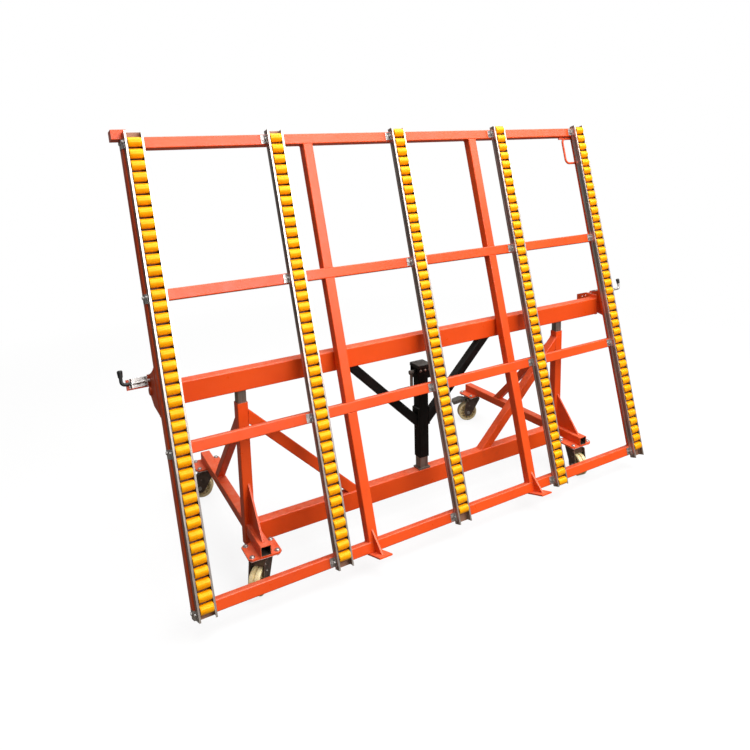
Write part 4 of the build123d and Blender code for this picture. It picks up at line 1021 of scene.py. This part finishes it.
def dress():
    """Gives every node and piece the finish of its slot, or its own where it has one."""
    slot_of = {part["node"]: part["material_slot"] for part in frame["record"]["subparts"]}
    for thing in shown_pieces():
        node = thing.get("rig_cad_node")
        slot = slot_of[node] if node else thing["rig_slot"]
        thing.data.materials.clear()
        thing.data.materials.append(NODE_FINISHES.get(node, FINISHES[slot]))


dress()


# Floor, light and camera

FLOOR_HALF = 30.0
# The floor's own look gives way to plain white between these distances from the middle
FLOOR_FADE = (2.2, 5.0)
FLOOR_WHITE = 0.84
FLOOR_SEEN = (0.93, 0.93, 0.93)
FLOOR_BOUNCE = (0.14, 0.12, 0.10)
FLOOR_ROUGH = 0.7
FLOOR_GLOSS = 0.1
SKY_WHITE = (1, 1, 1, 1)
SKY_FILL = (1.0, 0.98, 0.96, 1)
SKY_FILL_STRENGTH = 0.22
# Place in metres, size in metres and power in watts of each light
SOFTBOXES = {
    "overhead": ((0.5, -0.5, 5.5), (6, 5), 390),
    "front": ((3.6, -3.7, 5.0), (5, 3), 235),
    "beside_camera": ((0.3, -5.0, 3.6), (3, 2.5), 185),
}


def make_floor():
    """A plain pale floor that throws little light back up and fades into the white behind it."""
    mesh = bpy.data.meshes.new("floor")
    corners = [(x * FLOOR_HALF, y * FLOOR_HALF, 0) for x, y in ((-1, -1), (1, -1), (1, 1), (-1, 1))]
    mesh.from_pydata(corners, [], [(0, 1, 2, 3)])
    floor = bpy.data.objects.new("floor", mesh)
    bpy.context.scene.collection.objects.link(floor)
    f = Finish("floor")
    seen = f.add("ShaderNodeLightPath").outputs["Is Camera Ray"]
    f.set(Base_Color=f.blend(seen, FLOOR_BOUNCE, FLOOR_SEEN))
    f.set(Roughness=FLOOR_ROUGH, Specular_IOR_Level=FLOOR_GLOSS)
    away = f.add("ShaderNodeVectorMath")
    away.operation = "LENGTH"
    f.put(away, 0, f.spot.outputs["Object"])
    far = f.times(f.span(away.outputs["Value"], *FLOOR_FADE, FLOOR_WHITE, 1.0), seen)
    white = f.add("ShaderNodeEmission")
    mix = f.add("ShaderNodeMixShader", Fac=far)
    f.put(mix, 1, f.shader.outputs["BSDF"])
    f.put(mix, 2, white.outputs["Emission"])
    f.put(f.nodes["Material Output"], "Surface", mix.outputs["Shader"])
    mesh.materials.append(f.material)


def make_sky():
    """White behind the object, and a dim even light from all round."""
    world = bpy.data.worlds.new("studio")
    bpy.context.scene.world = world
    world.use_nodes = True
    nodes, links = world.node_tree.nodes, world.node_tree.links
    path = nodes.new("ShaderNodeLightPath")
    mix = nodes.new("ShaderNodeMixShader")
    white, fill = nodes["Background"], nodes.new("ShaderNodeBackground")
    white.inputs["Color"].default_value = SKY_WHITE
    fill.inputs["Color"].default_value = SKY_FILL
    fill.inputs["Strength"].default_value = SKY_FILL_STRENGTH
    links.new(path.outputs["Is Camera Ray"], mix.inputs["Fac"])
    links.new(fill.outputs["Background"], mix.inputs[1])
    links.new(white.outputs["Background"], mix.inputs[2])
    links.new(mix.outputs["Shader"], nodes["World Output"].inputs["Surface"])


def softbox(name, spot, size, power):
    """A wide soft light that faces the middle of the object."""
    lamp = bpy.data.lights.new(name, "AREA")
    lamp.shape = "RECTANGLE"
    lamp.size, lamp.size_y = size
    lamp.energy = power
    thing = bpy.data.objects.new(name, lamp)
    thing.location = spot
    middle = (cad_box[0] + cad_box[1]) / 2
    thing.rotation_euler = (middle - Vector(spot)).to_track_quat("-Z", "Y").to_euler()
    bpy.context.scene.collection.objects.link(thing)


# The photograph's viewpoint: place in metres, turns in degrees, and lens in pixels of the photograph
CAMERA_SPOT = PIVOT + Vector((-2.05766, -3.20558, 1.13379))
CAMERA_YAW = 34.465
CAMERA_PITCH = 10.908
CAMERA_ROLL = 0.588
FRAME_PIXELS = 750
FOCAL_PIXELS = 742.79
CENTRE_PIXEL = (435.22, 263.58)
SENSOR_MM = 36
SEEN_FAR = 100


def make_camera():
    """A camera at the photograph's viewpoint."""
    yaw, pitch, roll = (math.radians(a) for a in (CAMERA_YAW, CAMERA_PITCH, CAMERA_ROLL))
    ahead = Vector((math.sin(yaw) * math.cos(pitch), math.cos(yaw) * math.cos(pitch), -math.sin(pitch)))
    level_right = Vector((math.cos(yaw), -math.sin(yaw), 0))
    level_down = ahead.cross(level_right)
    right = math.cos(roll) * level_right + math.sin(roll) * level_down
    down = math.cos(roll) * level_down - math.sin(roll) * level_right
    lens = bpy.data.cameras.new("camera")
    lens.sensor_width = SENSOR_MM
    lens.lens = FOCAL_PIXELS / FRAME_PIXELS * SENSOR_MM
    lens.shift_x = (FRAME_PIXELS / 2 - CENTRE_PIXEL[0]) / FRAME_PIXELS
    lens.shift_y = (CENTRE_PIXEL[1] - FRAME_PIXELS / 2) / FRAME_PIXELS
    lens.clip_end = SEEN_FAR
    camera = bpy.data.objects.new("camera", lens)
    turn = Matrix((right, -down, -ahead)).transposed().to_4x4()
    camera.matrix_world = Matrix.Translation(CAMERA_SPOT) @ turn
    bpy.context.scene.collection.objects.link(camera)
    bpy.context.scene.camera = camera


make_floor()
make_sky()
for name, (spot, size, power) in SOFTBOXES.items():
    softbox(name, spot, size, power)
make_camera()
bpy.context.scene.view_settings.view_transform = "Standard"
